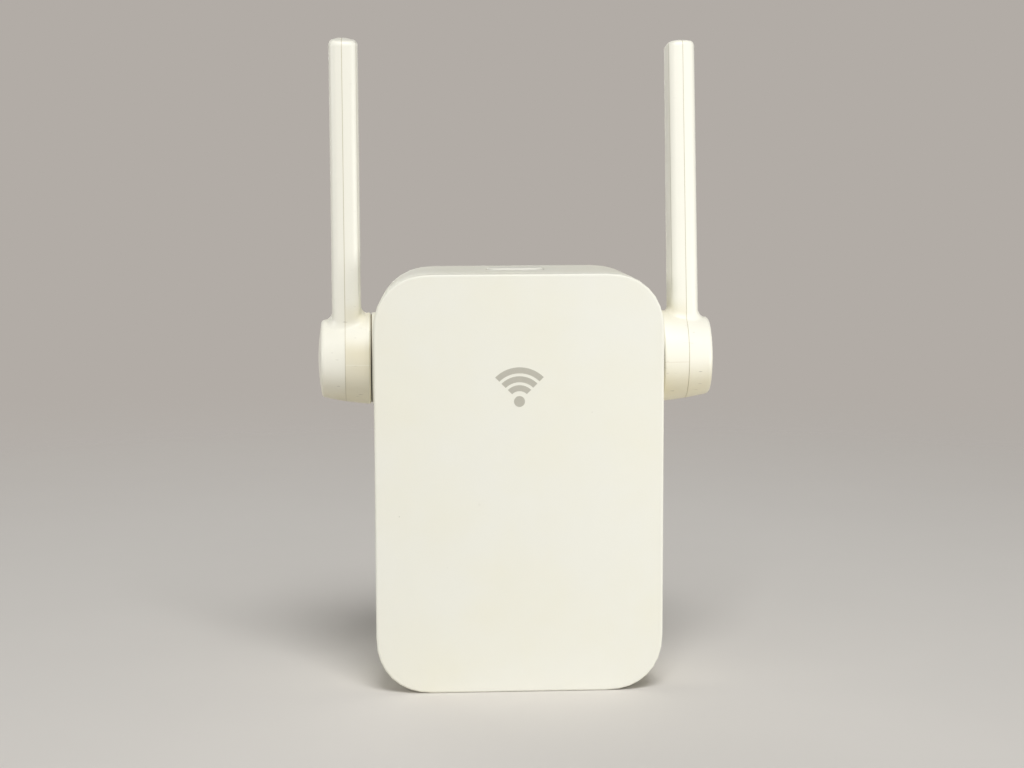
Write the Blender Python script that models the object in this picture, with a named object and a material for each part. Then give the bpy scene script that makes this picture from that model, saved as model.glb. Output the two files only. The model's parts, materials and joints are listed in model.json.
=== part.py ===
"""Wall-plug wifi range extender: a cased main board and mains supply with two hinged aerials.

Metres, +Z up. The origin is the middle of the plug's wall face, the wall lies at +Y,
the front faces -Y and +X is to the right of someone facing the front.
"""

import math

import bmesh
import bpy
from mathutils import Matrix, Vector

MM = 0.001

# Clearances
FIT = 0.3 * MM
SEAM_GAP = 0.3 * MM
PIVOT_PLAY = 0.25 * MM
SLEEVE_PLAY = 0.15 * MM
OVERRUN = 2.0 * MM
BOARD_CLEARANCE = 1.0 * MM

# Case
FACE_WIDTH = 65.8 * MM
FACE_HEIGHT = 96.4 * MM
CORNER_RADIUS = 13.0 * MM
CORNER_POWER = 2.2
CORNER_GROWTH = 0.8 * MM
COVER_DEPTH = 3.6 * MM
COVER_EDGE = 0.5 * MM
SEAM_EDGE = 0.25 * MM
FRONT_WALL = 2.0 * MM
RIM_WALL = 1.3 * MM
LIP_WALL = 0.9 * MM
REAR_WALL = 2.4 * MM
REAR_EDGE = 3.5 * MM
DRAFT_DEGREES = 0.8
SIDE_DRAFT_DEGREES = 2.3

# Room from front to back inside the case
FRONT_BAY = 7.5 * MM
BOARD_THICKNESS = 1.6 * MM
POWER_BAY = 13.6 * MM
POWER_STAND = 2.6 * MM
PLATE_STAND = 1.2 * MM

# Side vents
VENT_COUNT = 7
VENT_PITCH = 5.0 * MM
VENT_WIDTH = 1.8 * MM
VENT_LENGTH = 13.0 * MM
VENT_DROP = 6.0 * MM

# Aerial hinge
HUB_DROP = 20.5 * MM
BOSS_RADIUS = 10.6 * MM
BOSS_STAND = 0.3 * MM
BOSS_MARGIN = 0.3 * MM
SEAT_STAND = 0.8 * MM
PIVOT_RADIUS = 4.0 * MM
PIVOT_BORE = 2.2 * MM
PIVOT_TAIL = 0.8 * MM
GROOVE_DEPTH = 0.7 * MM
WASHER_THICKNESS = 0.6 * MM
WASHER_RIM = 2.0 * MM
CLIP_THICKNESS = 0.8 * MM
CLIP_RIM = 2.0 * MM
CLIP_MOUTH_DEGREES = 50.0
LEFT_LEAN_DEGREES = -4.0
RIGHT_LEAN_DEGREES = 8.5

# Aerial
HUB_GAP = 0.3 * MM
HUB_LENGTH = 11.4 * MM
HUB_OUTER_RADIUS = 8.8 * MM
HUB_BULGE = 0.25 * MM
HUB_EDGE = 1.0 * MM
HUB_DOME = 0.7 * MM
SHELL_WALL = 1.2 * MM
PARTING_INSET = 5.8 * MM
PARTING_GAP = 0.15 * MM
BLADE_LENGTH = 73.3 * MM
BLADE_INNER = 3.6 * MM
BLADE_OUTER = 3.0 * MM
BLADE_ROOT_DEPTH = 11.0 * MM
BLADE_TIP_DEPTH = 9.2 * MM
BLADE_CORNER_SHARE = 0.95
BLADE_POWER = 2.8
TIP_INNER = 1.6 * MM
TIP_OUTER = 0.9 * MM
TIP_ROUND = 1.3 * MM
TIP_DOME = 0.3 * MM
FILLET_SIDE = 2.0 * MM
FILLET_FRONT = 0.7 * MM
FILLET_SIDE_RISE = 2.0 * MM
FILLET_FRONT_RISE = 1.6 * MM
RADIATOR_THICKNESS = 0.8 * MM
RADIATOR_LENGTH = 52.0 * MM
LEAD_RADIUS = 0.7 * MM
LEAD_BEND = 5.0 * MM

# Top button and its switch
BUTTON_WIDTH = 13.0 * MM
BUTTON_DEPTH = 5.0 * MM
BUTTON_SETBACK = 15.4 * MM
BUTTON_STAND = 0.4 * MM
BUTTON_EDGE = 0.4 * MM
BUTTON_TRAVEL = 0.5 * MM
FLANGE_RIM = 1.2 * MM
FLANGE_THICKNESS = 1.0 * MM
SWITCH_WIDTH = 6.0 * MM
SWITCH_DEPTH = 3.6 * MM
SWITCH_HEIGHT = 3.6 * MM
PLUNGER_RADIUS = 1.0 * MM
PLUNGER_SINK = 1.6 * MM

# Reset switch behind its pinhole
RESET_HOLE_RADIUS = 0.9 * MM
RESET_RECESS = 1.0 * MM
RESET_TRAVEL = 0.3 * MM

# Ethernet socket
SOCKET_WIDTH = 16.0 * MM
SOCKET_DEPTH = 13.4 * MM
SOCKET_LENGTH = 21.3 * MM
SOCKET_WALL = 2.0 * MM
PORT_WIDTH = 12.0 * MM
PORT_DEPTH = 7.0 * MM
PORT_LENGTH = 14.0 * MM
LATCH_WIDTH = 6.2 * MM
LATCH_DEPTH = 2.2 * MM
CONTACT_COUNT = 8
CONTACT_PITCH = 1.02 * MM
CONTACT_WIDTH = 0.5 * MM
CONTACT_THICKNESS = 0.4 * MM
CONTACT_LENGTH = 7.0 * MM
CONTACT_BAR = 1.5 * MM

# Main board
BOARD_CORNER = 9.0 * MM
POST_INSET = 4.8 * MM
POST_RADIUS = 2.6 * MM
SCREW_RADIUS = 1.0 * MM
SCREW_LENGTH = 6.0 * MM
SCREW_HEAD_RADIUS = 1.9 * MM
SCREW_HEAD_HEIGHT = 1.2 * MM
SHIELD_SIZE = 26.0 * MM
SHIELD_HEIGHT = 2.4 * MM
SHIELD_DROP = 8.0 * MM
SHIELD_EDGE = 0.4 * MM
SINK_SIZE = 20.0 * MM
SINK_BASE = 1.0 * MM
SINK_AIR = 1.2 * MM
FIN_COUNT = 7
FIN_WIDTH = 1.1 * MM
LED_COUNT = 4
LED_PITCH = 6.0 * MM
LED_DROP = 7.0 * MM
LED_WIDTH = 2.0 * MM
LED_HEIGHT = 1.2 * MM
LED_THICKNESS = 0.8 * MM
GUIDE_WIDTH = 2.6 * MM
GUIDE_HEIGHT = 3.0 * MM
GUIDE_BAR = 1.4 * MM
MAGNETICS_WIDTH = 12.0 * MM
MAGNETICS_HEIGHT = 9.0 * MM
MAGNETICS_THICKNESS = 4.6 * MM
MOULDED_EDGE = 0.5 * MM

# Power board
POWER_WIDTH = 38.0 * MM
POWER_TOP = 23.0 * MM
POWER_CORNER = 2.0 * MM
POWER_POST_INSET = 3.6 * MM
BAY_AIR = 1.5 * MM
TRANSFORMER_WIDTH = 15.0 * MM
TRANSFORMER_LENGTH = 16.0 * MM
TRANSFORMER_X = -8.5 * MM
TRANSFORMER_Z = 9.0 * MM
BOBBIN_FLANGE = 1.3 * MM
WINDING_INSET = 1.2 * MM
CAPACITOR_X = 6.5 * MM
CAPACITOR_RADIUS = 4.4 * MM
CAPACITOR_HIGH_Z = 8.5 * MM
CAPACITOR_LOW_Z = -2.0 * MM
CAPACITOR_GROOVE = 0.4 * MM
OUTPUT_CAPACITOR_X = -9.0 * MM
OUTPUT_CAPACITOR_Z = -6.0 * MM
OUTPUT_CAPACITOR_RADIUS = 3.6 * MM
FUSE_X = 14.6 * MM
FUSE_Z = 0.0 * MM
FUSE_RADIUS = 2.2 * MM
FUSE_LENGTH = 12.0 * MM
FUSE_CAP = 2.6 * MM
FUSE_CAP_STEP = 0.4 * MM
RECTIFIER_X = -1.5 * MM
RECTIFIER_Z = -9.0 * MM
RECTIFIER_SIZE = 5.0 * MM
RECTIFIER_HEIGHT = 4.0 * MM
HEADER_X = 14.0 * MM
HEADER_Z = 14.0 * MM
HEADER_WIDTH = 4.0 * MM
HEADER_HEIGHT = 9.0 * MM

# Three-pin mains plug
PLATE_SIZE = 44.0 * MM
PLATE_CORNER = 7.0 * MM
PLATE_EDGE = 0.6 * MM
POCKET_DEPTH = 1.2 * MM
PIN_SPACING = 22.2 * MM
PIN_WIDTH = 6.35 * MM
PIN_THICKNESS = 3.97 * MM
PIN_LENGTH = 17.7 * MM
EARTH_WIDTH = 7.95 * MM
EARTH_LENGTH = 22.7 * MM
PIN_TAPER = 2.2 * MM
PIN_TIP_INSET = 0.9 * MM
PIN_CORNER = 0.45 * MM
SLEEVE_LENGTH = 9.3 * MM
SLEEVE_WALL = 0.5 * MM

# Facets
CORNER_STEPS = 8
SMALL_STEPS = 4
EDGE_STEPS = 4
HUB_STEPS = 48
BLADE_STEPS = 5
BARREL_STATIONS = 4
DOME_SHARES = (0.75, 0.5, 0.25)
PIVOT_STEPS = 24
ROUND_STEPS = 20
SMALL_ROUND_STEPS = 12
SHARP_ANGLE = math.radians(32)

# Depths, worked out from the stack inside the case
WALL_Y = 0.0
BACK_Y = WALL_Y - PLATE_STAND
FLOOR_Y = BACK_Y - REAR_WALL
POWER_REAR_Y = FLOOR_Y - POWER_STAND
POWER_FRONT_Y = POWER_REAR_Y - BOARD_THICKNESS
MAIN_REAR_Y = POWER_FRONT_Y - POWER_BAY
MAIN_FRONT_Y = MAIN_REAR_Y - BOARD_THICKNESS
FRONT_INNER_Y = MAIN_FRONT_Y - FRONT_BAY
FRONT_Y = FRONT_INNER_Y - FRONT_WALL
COVER_RIM_Y = FRONT_Y + COVER_DEPTH
RIM_Y = COVER_RIM_Y + SEAM_GAP
LIP_Y = FRONT_INNER_Y + FIT
HUB_Y = RIM_Y + BOSS_MARGIN + BOSS_RADIUS
HUB_Z = FACE_HEIGHT / 2 - HUB_DROP
HOUSING_WALL = RIM_WALL + FIT + LIP_WALL
DRAFT = math.tan(math.radians(DRAFT_DEGREES))
SIDE_DRAFT = math.tan(math.radians(SIDE_DRAFT_DEGREES))

# Hinge stations along X, from the boss inwards and outwards
WALL_MIDDLE_X = FACE_WIDTH / 2 - HOUSING_WALL / 2
BOSS_X = FACE_WIDTH / 2 + BOSS_STAND
HUB_X = BOSS_X + HUB_GAP
PARTING_X = HUB_X + PARTING_INSET
HUB_END_X = HUB_X + HUB_LENGTH
SEAT_X = FACE_WIDTH / 2 - HOUSING_WALL - SEAT_STAND
WASHER_X = SEAT_X - FIT - WASHER_THICKNESS
CLIP_X = WASHER_X - FIT - CLIP_THICKNESS
PIVOT_END_X = CLIP_X - FIT - PIVOT_TAIL
WASHER_RADIUS = PIVOT_RADIUS + PIVOT_PLAY + WASHER_RIM
GROOVE_RADIUS = PIVOT_RADIUS - GROOVE_DEPTH
CHANNEL_INNER = BLADE_INNER - SHELL_WALL
CHANNEL_OUTER = BLADE_OUTER - SHELL_WALL
CHANNEL_HALF = BLADE_TIP_DEPTH / 2 - SHELL_WALL
RADIATOR_X = PARTING_X - CHANNEL_INNER + FIT + RADIATOR_THICKNESS / 2
RADIATOR_TOP = BLADE_LENGTH - TIP_ROUND - SHELL_WALL - FIT
RADIATOR_LOW = RADIATOR_TOP - RADIATOR_LENGTH


def taper(y):
    """How far the housing's wall has drawn in at a depth."""
    return max(0.0, y - RIM_Y) * DRAFT


def outer_height(y):
    """Half height of the housing outside, at a depth."""
    return FACE_HEIGHT / 2 - taper(y)


def inner_height(y):
    """Half height of the room inside the housing, at a depth."""
    return outer_height(y) - HOUSING_WALL


# Stations that hang on the walls
SWITCH_Y = MAIN_REAR_Y + FIT + SWITCH_DEPTH / 2
BUTTON_Y = FRONT_Y + BUTTON_SETBACK
FLANGE_FRONT_Y = min(SWITCH_Y - PLUNGER_RADIUS, BUTTON_Y - BUTTON_DEPTH / 2 - FLANGE_RIM)
FLANGE_REAR_Y = max(SWITCH_Y + PLUNGER_RADIUS, BUTTON_Y + BUTTON_DEPTH / 2 + FLANGE_RIM)
FLANGE_TOP = inner_height(FLANGE_REAR_Y) - FIT
FLANGE_LOW = FLANGE_TOP - FLANGE_THICKNESS
SWITCH_TOP = FLANGE_LOW - FIT - BUTTON_TRAVEL - FIT
RESET_TIP = -inner_height(SWITCH_Y) + RESET_RECESS
RESET_LOW = RESET_TIP + RESET_TRAVEL + FIT
SOCKET_FRONT_Y = MAIN_REAR_Y + FIT
SOCKET_REAR_Y = SOCKET_FRONT_Y + SOCKET_DEPTH
SOCKET_LOW = -outer_height(SOCKET_REAR_Y)
SOCKET_TOP = SOCKET_LOW + SOCKET_LENGTH
PORT_FRONT_Y = SOCKET_FRONT_Y + SOCKET_WALL
PORT_REAR_Y = PORT_FRONT_Y + PORT_DEPTH
MAIN_HALF_WIDTH = PIVOT_END_X - BOARD_CLEARANCE
MAIN_TOP = SWITCH_TOP
POST_X = MAIN_HALF_WIDTH - POST_INSET
RESET_X = (SOCKET_WIDTH / 2 + FIT + POST_X - POST_RADIUS) / 2
MAIN_LOW = -inner_height(MAIN_REAR_Y) + BOARD_CLEARANCE
POWER_LOW = SOCKET_TOP + BOARD_CLEARANCE
SHIELD_Z = MAIN_TOP - SHIELD_DROP - SHIELD_SIZE / 2
LED_Z = SHIELD_Z - SHIELD_SIZE / 2 - LED_DROP
PART_FRONT_Y = MAIN_REAR_Y + BAY_AIR
PART_REAR_Y = POWER_FRONT_Y - FIT


def clear_scene():
    """Removes whatever the scene holds."""
    for obj in list(bpy.data.objects):
        bpy.data.objects.remove(obj)


def finish(name, colour, roughness, metallic=0.0):
    """A plain material with the piece's colour, as linear red, green and blue."""
    made = bpy.data.materials.new(name)
    made.use_nodes = True
    shader = made.node_tree.nodes["Principled BSDF"]
    shader.inputs["Base Color"].default_value = (*colour, 1.0)
    shader.inputs["Roughness"].default_value = roughness
    shader.inputs["Metallic"].default_value = metallic
    return made


def make(name, bm, look=None, parent=None, side=1):
    """Turns a mesh into a named object. One with no look is a cutter, or is fused into another."""
    if side < 0:
        bmesh.ops.transform(bm, matrix=Matrix.Scale(-1.0, 4, (1.0, 0.0, 0.0)), verts=bm.verts)
    bmesh.ops.remove_doubles(bm, verts=bm.verts, dist=1e-7)
    bmesh.ops.recalc_face_normals(bm, faces=bm.faces)
    mesh = bpy.data.meshes.new(name)
    bm.to_mesh(mesh)
    bm.free()
    mesh.shade_smooth()
    mesh.set_sharp_from_angle(angle=SHARP_ANGLE)
    obj = bpy.data.objects.new(name, mesh)
    bpy.context.scene.collection.objects.link(obj)
    obj.parent = parent
    if look is None:
        obj.hide_render = True
        obj.display_type = "WIRE"
    else:
        mesh.materials.append(look)
    return obj


def combine(target, tool, operation):
    """Adds or cuts one object with another."""
    modifier = target.modifiers.new(tool.name, "BOOLEAN")
    modifier.operation = operation
    modifier.solver = "EXACT"
    modifier.object = tool


def fuse(target, *tools):
    """Joins tools into a piece."""
    for tool in tools:
        combine(target, tool, "UNION")


def cut(target, *tools):
    """Cuts tools out of a piece."""
    for tool in tools:
        combine(target, tool, "DIFFERENCE")


def rounded(width, height, radius, power=2.0, steps=SMALL_STEPS):
    """Flat points round a rectangle with soft corners, anticlockwise from its right side."""
    points = []
    for quarter in range(4):
        right = 1 if quarter in (0, 3) else -1
        upper = 1 if quarter in (0, 1) else -1
        for step in range(steps + 1):
            angle = math.pi / 2 * (quarter + step / steps)
            along = abs(math.cos(angle)) ** (2.0 / power)
            above = abs(math.sin(angle)) ** (2.0 / power)
            points.append((right * (width / 2 - radius + radius * along),
                           upper * (height / 2 - radius + radius * above)))
    return points


def circle(radius, steps=ROUND_STEPS):
    """Flat points round a circle."""
    return [(radius * math.cos(math.tau * k / steps), radius * math.sin(math.tau * k / steps))
            for k in range(steps)]


def comb(count, pitch, tooth, back, root, tip):
    """Outline of a bar from back to root, with teeth that reach to the tip."""
    half = (count - 1) * pitch / 2 + tooth / 2
    points = [(-half, back), (half, back)]
    for k in reversed(range(count)):
        middle = (k - (count - 1) / 2) * pitch
        points += [(middle + tooth / 2, root), (middle + tooth / 2, tip)]
        points += [(middle - tooth / 2, tip), (middle - tooth / 2, root)]
    return points


def place(points, axis, along, centre=(0.0, 0.0, 0.0)):
    """Sets flat points square to an axis, at a distance along it from a centre."""
    x, y, z = centre
    if axis == "X":
        return [(x + along, y + u, z + v) for u, v in points]
    if axis == "Y":
        return [(x + u, y + along, z + v) for u, v in points]
    return [(x + u, y + v, z + along) for u, v in points]


def skin(loops, ring=False):
    """A closed skin over a row of point loops, capped at its ends unless they join in a ring."""
    bm = bmesh.new()
    rows = [[bm.verts.new(point) for point in loop] for loop in loops]
    pairs = list(zip(rows, rows[1:]))
    if ring:
        pairs.append((rows[-1], rows[0]))
    for near, far in pairs:
        for k in range(len(near)):
            bm.faces.new((near[k - 1], near[k], far[k], far[k - 1]))
    if not ring:
        bm.faces.new(rows[0])
        bm.faces.new(rows[-1])
    return bm


def turned(profile, axis, centre=(0.0, 0.0, 0.0), steps=ROUND_STEPS, ring=False):
    """A turned form, from distances along an axis with their radii."""
    return skin([place(circle(radius, steps), axis, along, centre) for along, radius in profile], ring)


def prism(points, axis, low, high, centre=(0.0, 0.0, 0.0)):
    """An outline drawn out along an axis."""
    return skin([place(points, axis, low, centre), place(points, axis, high, centre)])


def block(low, high, edge=0.0):
    """A block between two corners, with its edges broken where an edge is given."""
    bm = bmesh.new()
    bmesh.ops.create_cube(bm, size=1.0)
    for vertex in bm.verts:
        vertex.co = [a + (c + 0.5) * (b - a) for a, b, c in zip(low, high, vertex.co)]
    if edge:
        bmesh.ops.bevel(bm, geom=bm.edges[:], offset=edge, segments=1, affect="EDGES")
    return bm


def quarter_turn(steps=EDGE_STEPS):
    """Angles from 0 to 90 degrees."""
    return [math.pi / 2 * k / steps for k in range(steps + 1)]


def smooth_route(points, steps=4):
    """Points along a smooth curve through a route."""
    route = [Vector(point) for point in points]
    ends = [2 * route[0] - route[1], *route, 2 * route[-1] - route[-2]]
    curve = []
    for a, b, c, d in zip(ends, ends[1:], ends[2:], ends[3:]):
        for k in range(steps):
            t = k / steps
            curve.append(0.5 * (2 * b + (c - a) * t + (2 * a - 5 * b + 4 * c - d) * t ** 2
                                + (3 * b - a - 3 * c + d) * t ** 3))
    return [*curve, route[-1]]


def lead(name, route, look, parent=None):
    """A thin coaxial lead along a route."""
    curve = bpy.data.curves.new(name, "CURVE")
    curve.dimensions = "3D"
    curve.bevel_depth = LEAD_RADIUS
    curve.bevel_resolution = 2
    curve.use_fill_caps = True
    points = smooth_route(route)
    spline = curve.splines.new("POLY")
    spline.points.add(len(points) - 1)
    for point, place_at in zip(spline.points, points):
        point.co = (*place_at, 1.0)
    curve.materials.append(look)
    obj = bpy.data.objects.new(name, curve)
    bpy.context.scene.collection.objects.link(obj)
    obj.parent = parent
    return obj


def face_loop(y, inset):
    """The case outline at a depth, drawn in by an inset. From the seam back it narrows and its corners grow."""
    behind = max(0.0, y - RIM_Y)
    radius = CORNER_RADIUS + CORNER_GROWTH * behind / (BACK_Y - RIM_Y) - inset
    width = FACE_WIDTH - 2 * (inset + behind * (SIDE_DRAFT - DRAFT))
    points = rounded(width, FACE_HEIGHT - 2 * inset, radius, CORNER_POWER, CORNER_STEPS)
    return place(points, "Y", y)


def build_front_cover(look):
    """Shallow tray with a softened front edge, open at the back."""
    loops = [face_loop(FRONT_INNER_Y, RIM_WALL), face_loop(COVER_RIM_Y, RIM_WALL)]
    loops += [face_loop(COVER_RIM_Y, SEAM_EDGE), face_loop(COVER_RIM_Y - SEAM_EDGE, 0.0)]
    for angle in quarter_turn():
        y = FRONT_Y + COVER_EDGE * (1 - math.sin(angle))
        loops.append(face_loop(y, COVER_EDGE * (1 - math.cos(angle))))
    make("front_cover", skin(loops), look)


def main_posts():
    """Places of the main board's four posts, as x and z."""
    return [(x, z) for z in (MAIN_TOP - POST_INSET, MAIN_LOW + POST_INSET)
            for x in (-POST_X, POST_X)]


def power_posts():
    """Places of the power board's two posts, at opposite corners, as x and z."""
    reach = POWER_WIDTH / 2 - POWER_POST_INSET
    return [(-reach, POWER_TOP - POWER_POST_INSET), (reach, POWER_LOW + POWER_POST_INSET)]


def post(name, x, z, top_y):
    """A screw post that stands on the housing's floor, with its pilot hole."""
    root = FLOOR_Y + REAR_WALL / 3
    pilot = SCREW_RADIUS + FIT
    depth = min(SCREW_LENGTH, FLOOR_Y - top_y)
    profile = [(root, POST_RADIUS), (top_y, POST_RADIUS), (top_y, pilot), (top_y + depth, pilot)]
    return make(name, turned(profile, "Y", (x, 0.0, z), SMALL_ROUND_STEPS))


def build_rear_housing(look):
    """Deep drafted tub: tongue round its mouth, hinge bosses, screw posts, vents and the plug's pocket."""
    back = taper(BACK_Y - REAR_EDGE)
    loops = [face_loop(FLOOR_Y, HOUSING_WALL + taper(FLOOR_Y)), face_loop(LIP_Y, HOUSING_WALL),
             face_loop(LIP_Y, RIM_WALL + FIT), face_loop(RIM_Y, RIM_WALL + FIT), face_loop(RIM_Y, SEAM_EDGE),
             face_loop(RIM_Y + SEAM_EDGE, 0.0)]
    for angle in quarter_turn():
        y = BACK_Y - REAR_EDGE * (1 - math.sin(angle))
        loops.append(face_loop(y, back + REAR_EDGE * (1 - math.cos(angle))))
    housing = make("rear_housing", skin(loops), look)
    for side, name in ((-1, "left"), (1, "right")):
        centre = (0.0, HUB_Y, HUB_Z)
        boss = [(WALL_MIDDLE_X, BOSS_RADIUS), (BOSS_X, BOSS_RADIUS)]
        fuse(housing, make(f"{name}_boss", turned(boss, "X", centre, HUB_STEPS), side=side))
        seat = [(SEAT_X, WASHER_RADIUS), (WALL_MIDDLE_X, WASHER_RADIUS)]
        fuse(housing, make(f"{name}_seat", turned(seat, "X", centre, PIVOT_STEPS), side=side))
        hole = [(SEAT_X - OVERRUN, PIVOT_RADIUS + PIVOT_PLAY), (BOSS_X + OVERRUN, PIVOT_RADIUS + PIVOT_PLAY)]
        cut(housing, make(f"{name}_pivot_hole", turned(hole, "X", centre, PIVOT_STEPS), side=side))
    for k, (x, z) in enumerate(main_posts(), 1):
        fuse(housing, post(f"main_post_{k}", x, z, MAIN_REAR_Y + FIT))
    for k, (x, z) in enumerate(power_posts(), 1):
        fuse(housing, post(f"power_post_{k}", x, z, POWER_REAR_Y + FIT))
    cut_vents(housing)
    cut_button_slot(housing)
    cut_sockets(housing)
    cut_plug_pocket(housing)


def cut_vents(housing):
    """A row of slots through each side wall, below the hinge."""
    slot = rounded(VENT_LENGTH, VENT_WIDTH, VENT_WIDTH / 2, steps=2)
    middle = (RIM_Y + BACK_Y) / 2
    for side, name in ((-1, "left"), (1, "right")):
        for k in range(VENT_COUNT):
            centre = (0.0, middle, HUB_Z - BOSS_RADIUS - VENT_DROP - k * VENT_PITCH)
            opening = prism(slot, "X", SEAT_X - OVERRUN, BOSS_X, centre)
            cut(housing, make(f"{name}_vent_{k + 1}", opening, side=side))


def cut_button_slot(housing):
    """The button's opening in the top wall."""
    outline = rounded(BUTTON_WIDTH + 2 * FIT, BUTTON_DEPTH + 2 * FIT, BUTTON_DEPTH / 2 + FIT)
    low = inner_height(RIM_Y) - HOUSING_WALL
    opening = prism(outline, "Z", low, FACE_HEIGHT / 2 + OVERRUN, (0.0, BUTTON_Y, 0.0))
    cut(housing, make("button_slot", opening))


def cut_sockets(housing):
    """The openings in the bottom wall, for the ethernet socket and the reset pinhole."""
    bottom = -FACE_HEIGHT / 2 - OVERRUN
    low = (-SOCKET_WIDTH / 2 - FIT, SOCKET_FRONT_Y - FIT, bottom)
    high = (SOCKET_WIDTH / 2 + FIT, SOCKET_REAR_Y + FIT, SOCKET_TOP)
    cut(housing, make("socket_opening", block(low, high)))
    pinhole = [(bottom, RESET_HOLE_RADIUS), (RESET_TIP, RESET_HOLE_RADIUS)]
    centre = (RESET_X, SWITCH_Y, 0.0)
    cut(housing, make("reset_pinhole", turned(pinhole, "Z", centre, SMALL_ROUND_STEPS)))


def pin_stations():
    """Each pin's name, place, width, height and length. The earth pin stands upright above the other two."""
    half = PIN_SPACING / 2
    return (("earth", 0.0, half, PIN_THICKNESS, EARTH_WIDTH, EARTH_LENGTH),
            ("live", half, -half, PIN_WIDTH, PIN_THICKNESS, PIN_LENGTH),
            ("neutral", -half, -half, PIN_WIDTH, PIN_THICKNESS, PIN_LENGTH))


def pin_slots(target, label):
    """Cuts the three pin slots through a wall."""
    for name, x, z, width, height, _ in pin_stations():
        low = (x - width / 2 - FIT, FLOOR_Y - OVERRUN, z - height / 2 - FIT)
        high = (x + width / 2 + FIT, WALL_Y + OVERRUN, z + height / 2 + FIT)
        cut(target, make(f"{label}_{name}_slot", block(low, high)))


def cut_plug_pocket(housing):
    """The shallow pocket that takes the plug plate, and its pin slots."""
    outline = rounded(PLATE_SIZE + 2 * FIT, PLATE_SIZE + 2 * FIT, PLATE_CORNER + FIT)
    cut(housing, make("plug_pocket", prism(outline, "Y", BACK_Y - POCKET_DEPTH, BACK_Y + OVERRUN)))
    pin_slots(housing, "housing")


def build_plug(plate_look, pin_look, sleeve_look):
    """The plug plate with its earth, live and neutral pins, the last two in insulating sleeves."""
    inner = BACK_Y - POCKET_DEPTH + FIT
    outline = rounded(PLATE_SIZE, PLATE_SIZE, PLATE_CORNER)
    loops = [place(outline, "Y", inner), place(outline, "Y", WALL_Y - PLATE_EDGE)]
    small = PLATE_SIZE - 2 * PLATE_EDGE
    loops.append(place(rounded(small, small, PLATE_CORNER - PLATE_EDGE), "Y", WALL_Y))
    plate = make("plug_plate", skin(loops), plate_look)
    pin_slots(plate, "plate")
    root = POWER_REAR_Y + FIT
    core = SLEEVE_WALL + SLEEVE_PLAY
    for name, x, z, width, height, length in pin_stations():
        centre = (x, 0.0, z)

        def section(y, inset):
            """The pin's section at a depth, drawn in by an inset."""
            outline = rounded(width - 2 * inset, height - 2 * inset, PIN_CORNER, steps=2)
            return place(outline, "Y", y, centre)

        stem = 0.0 if name == "earth" else core
        shoulder = SLEEVE_LENGTH + FIT
        loops = [section(root, stem), section(shoulder, stem), section(shoulder, 0.0),
                 section(length - PIN_TAPER, 0.0), section(length, PIN_TIP_INSET)]
        make(f"{name}_pin", skin(loops), plate_look if name == "earth" else pin_look)
        if name != "earth":
            tube = [section(FLOOR_Y, 0.0), section(SLEEVE_LENGTH, 0.0),
                    section(SLEEVE_LENGTH, SLEEVE_WALL), section(FLOOR_Y, SLEEVE_WALL)]
            make(f"{name}_sleeve", skin(tube, ring=True), sleeve_look)


def hub_radius(x):
    """Radius of the aerial's barrel at a station along the hinge."""
    share = (x - HUB_X) / HUB_LENGTH
    return BOSS_RADIUS + (HUB_OUTER_RADIUS - BOSS_RADIUS) * share + 4 * HUB_BULGE * share * (1 - share)


def hub_form():
    """The barrel, from its flat inner end to its domed outer end."""
    profile = [(HUB_X, BOSS_RADIUS - HUB_EDGE / 3), (HUB_X + HUB_EDGE / 3, hub_radius(HUB_X + HUB_EDGE / 3))]
    for k in range(1, BARREL_STATIONS + 1):
        x = HUB_X + (HUB_LENGTH - HUB_EDGE) * k / BARREL_STATIONS
        profile.append((x, hub_radius(x)))
    top = hub_radius(HUB_END_X - HUB_EDGE)
    for angle in quarter_turn()[1:]:
        profile.append((HUB_END_X - HUB_EDGE * (1 - math.sin(angle)), top - HUB_EDGE * (1 - math.cos(angle))))
    flat = top - HUB_EDGE
    for share in DOME_SHARES:
        profile.append((HUB_END_X + HUB_DOME * (1 - share ** 2), flat * share))
    return turned(profile, "X", steps=HUB_STEPS)


def hub_hollow():
    """The room inside the barrel."""
    low = HUB_X + SHELL_WALL
    high = HUB_END_X - SHELL_WALL
    profile = [(x, hub_radius(x) - SHELL_WALL) for x in (low, high)]
    return turned(profile, "X", steps=PIVOT_STEPS)


def pivot_form():
    """The hollow pivot's outside, with the groove for its clip."""
    groove_low = CLIP_X - FIT
    groove_high = WASHER_X
    nose = PIVOT_RADIUS - FIT
    profile = [(HUB_X + SHELL_WALL / 2, PIVOT_RADIUS), (groove_high, PIVOT_RADIUS),
               (groove_high, GROOVE_RADIUS), (groove_low, GROOVE_RADIUS), (groove_low, PIVOT_RADIUS),
               (PIVOT_END_X + FIT, PIVOT_RADIUS), (PIVOT_END_X, nose)]
    return turned(profile, "X", steps=PIVOT_STEPS)


def pivot_hollow():
    """The bore that the lead runs through."""
    return turned([(PIVOT_END_X - OVERRUN, PIVOT_BORE), (HUB_X + OVERRUN, PIVOT_BORE)], "X")


def blade_outline(inner, outer, half_depth):
    """The blade's softly crowned section as x and y, about the parting plane."""
    width = inner + outer
    middle = PARTING_X + (outer - inner) / 2
    corner = BLADE_CORNER_SHARE * min(width / 2, half_depth)
    points = rounded(width, 2 * half_depth, corner, BLADE_POWER, BLADE_STEPS)
    return [(middle + u, v) for u, v in points]


def outward(points):
    """Unit vectors that point out of a closed flat outline."""
    normals = []
    for k in range(len(points)):
        before = Vector(points[k - 1])
        after = Vector(points[(k + 1) % len(points)])
        along = (after - before).normalized()
        normals.append((along.y, -along.x))
    return normals


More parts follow.
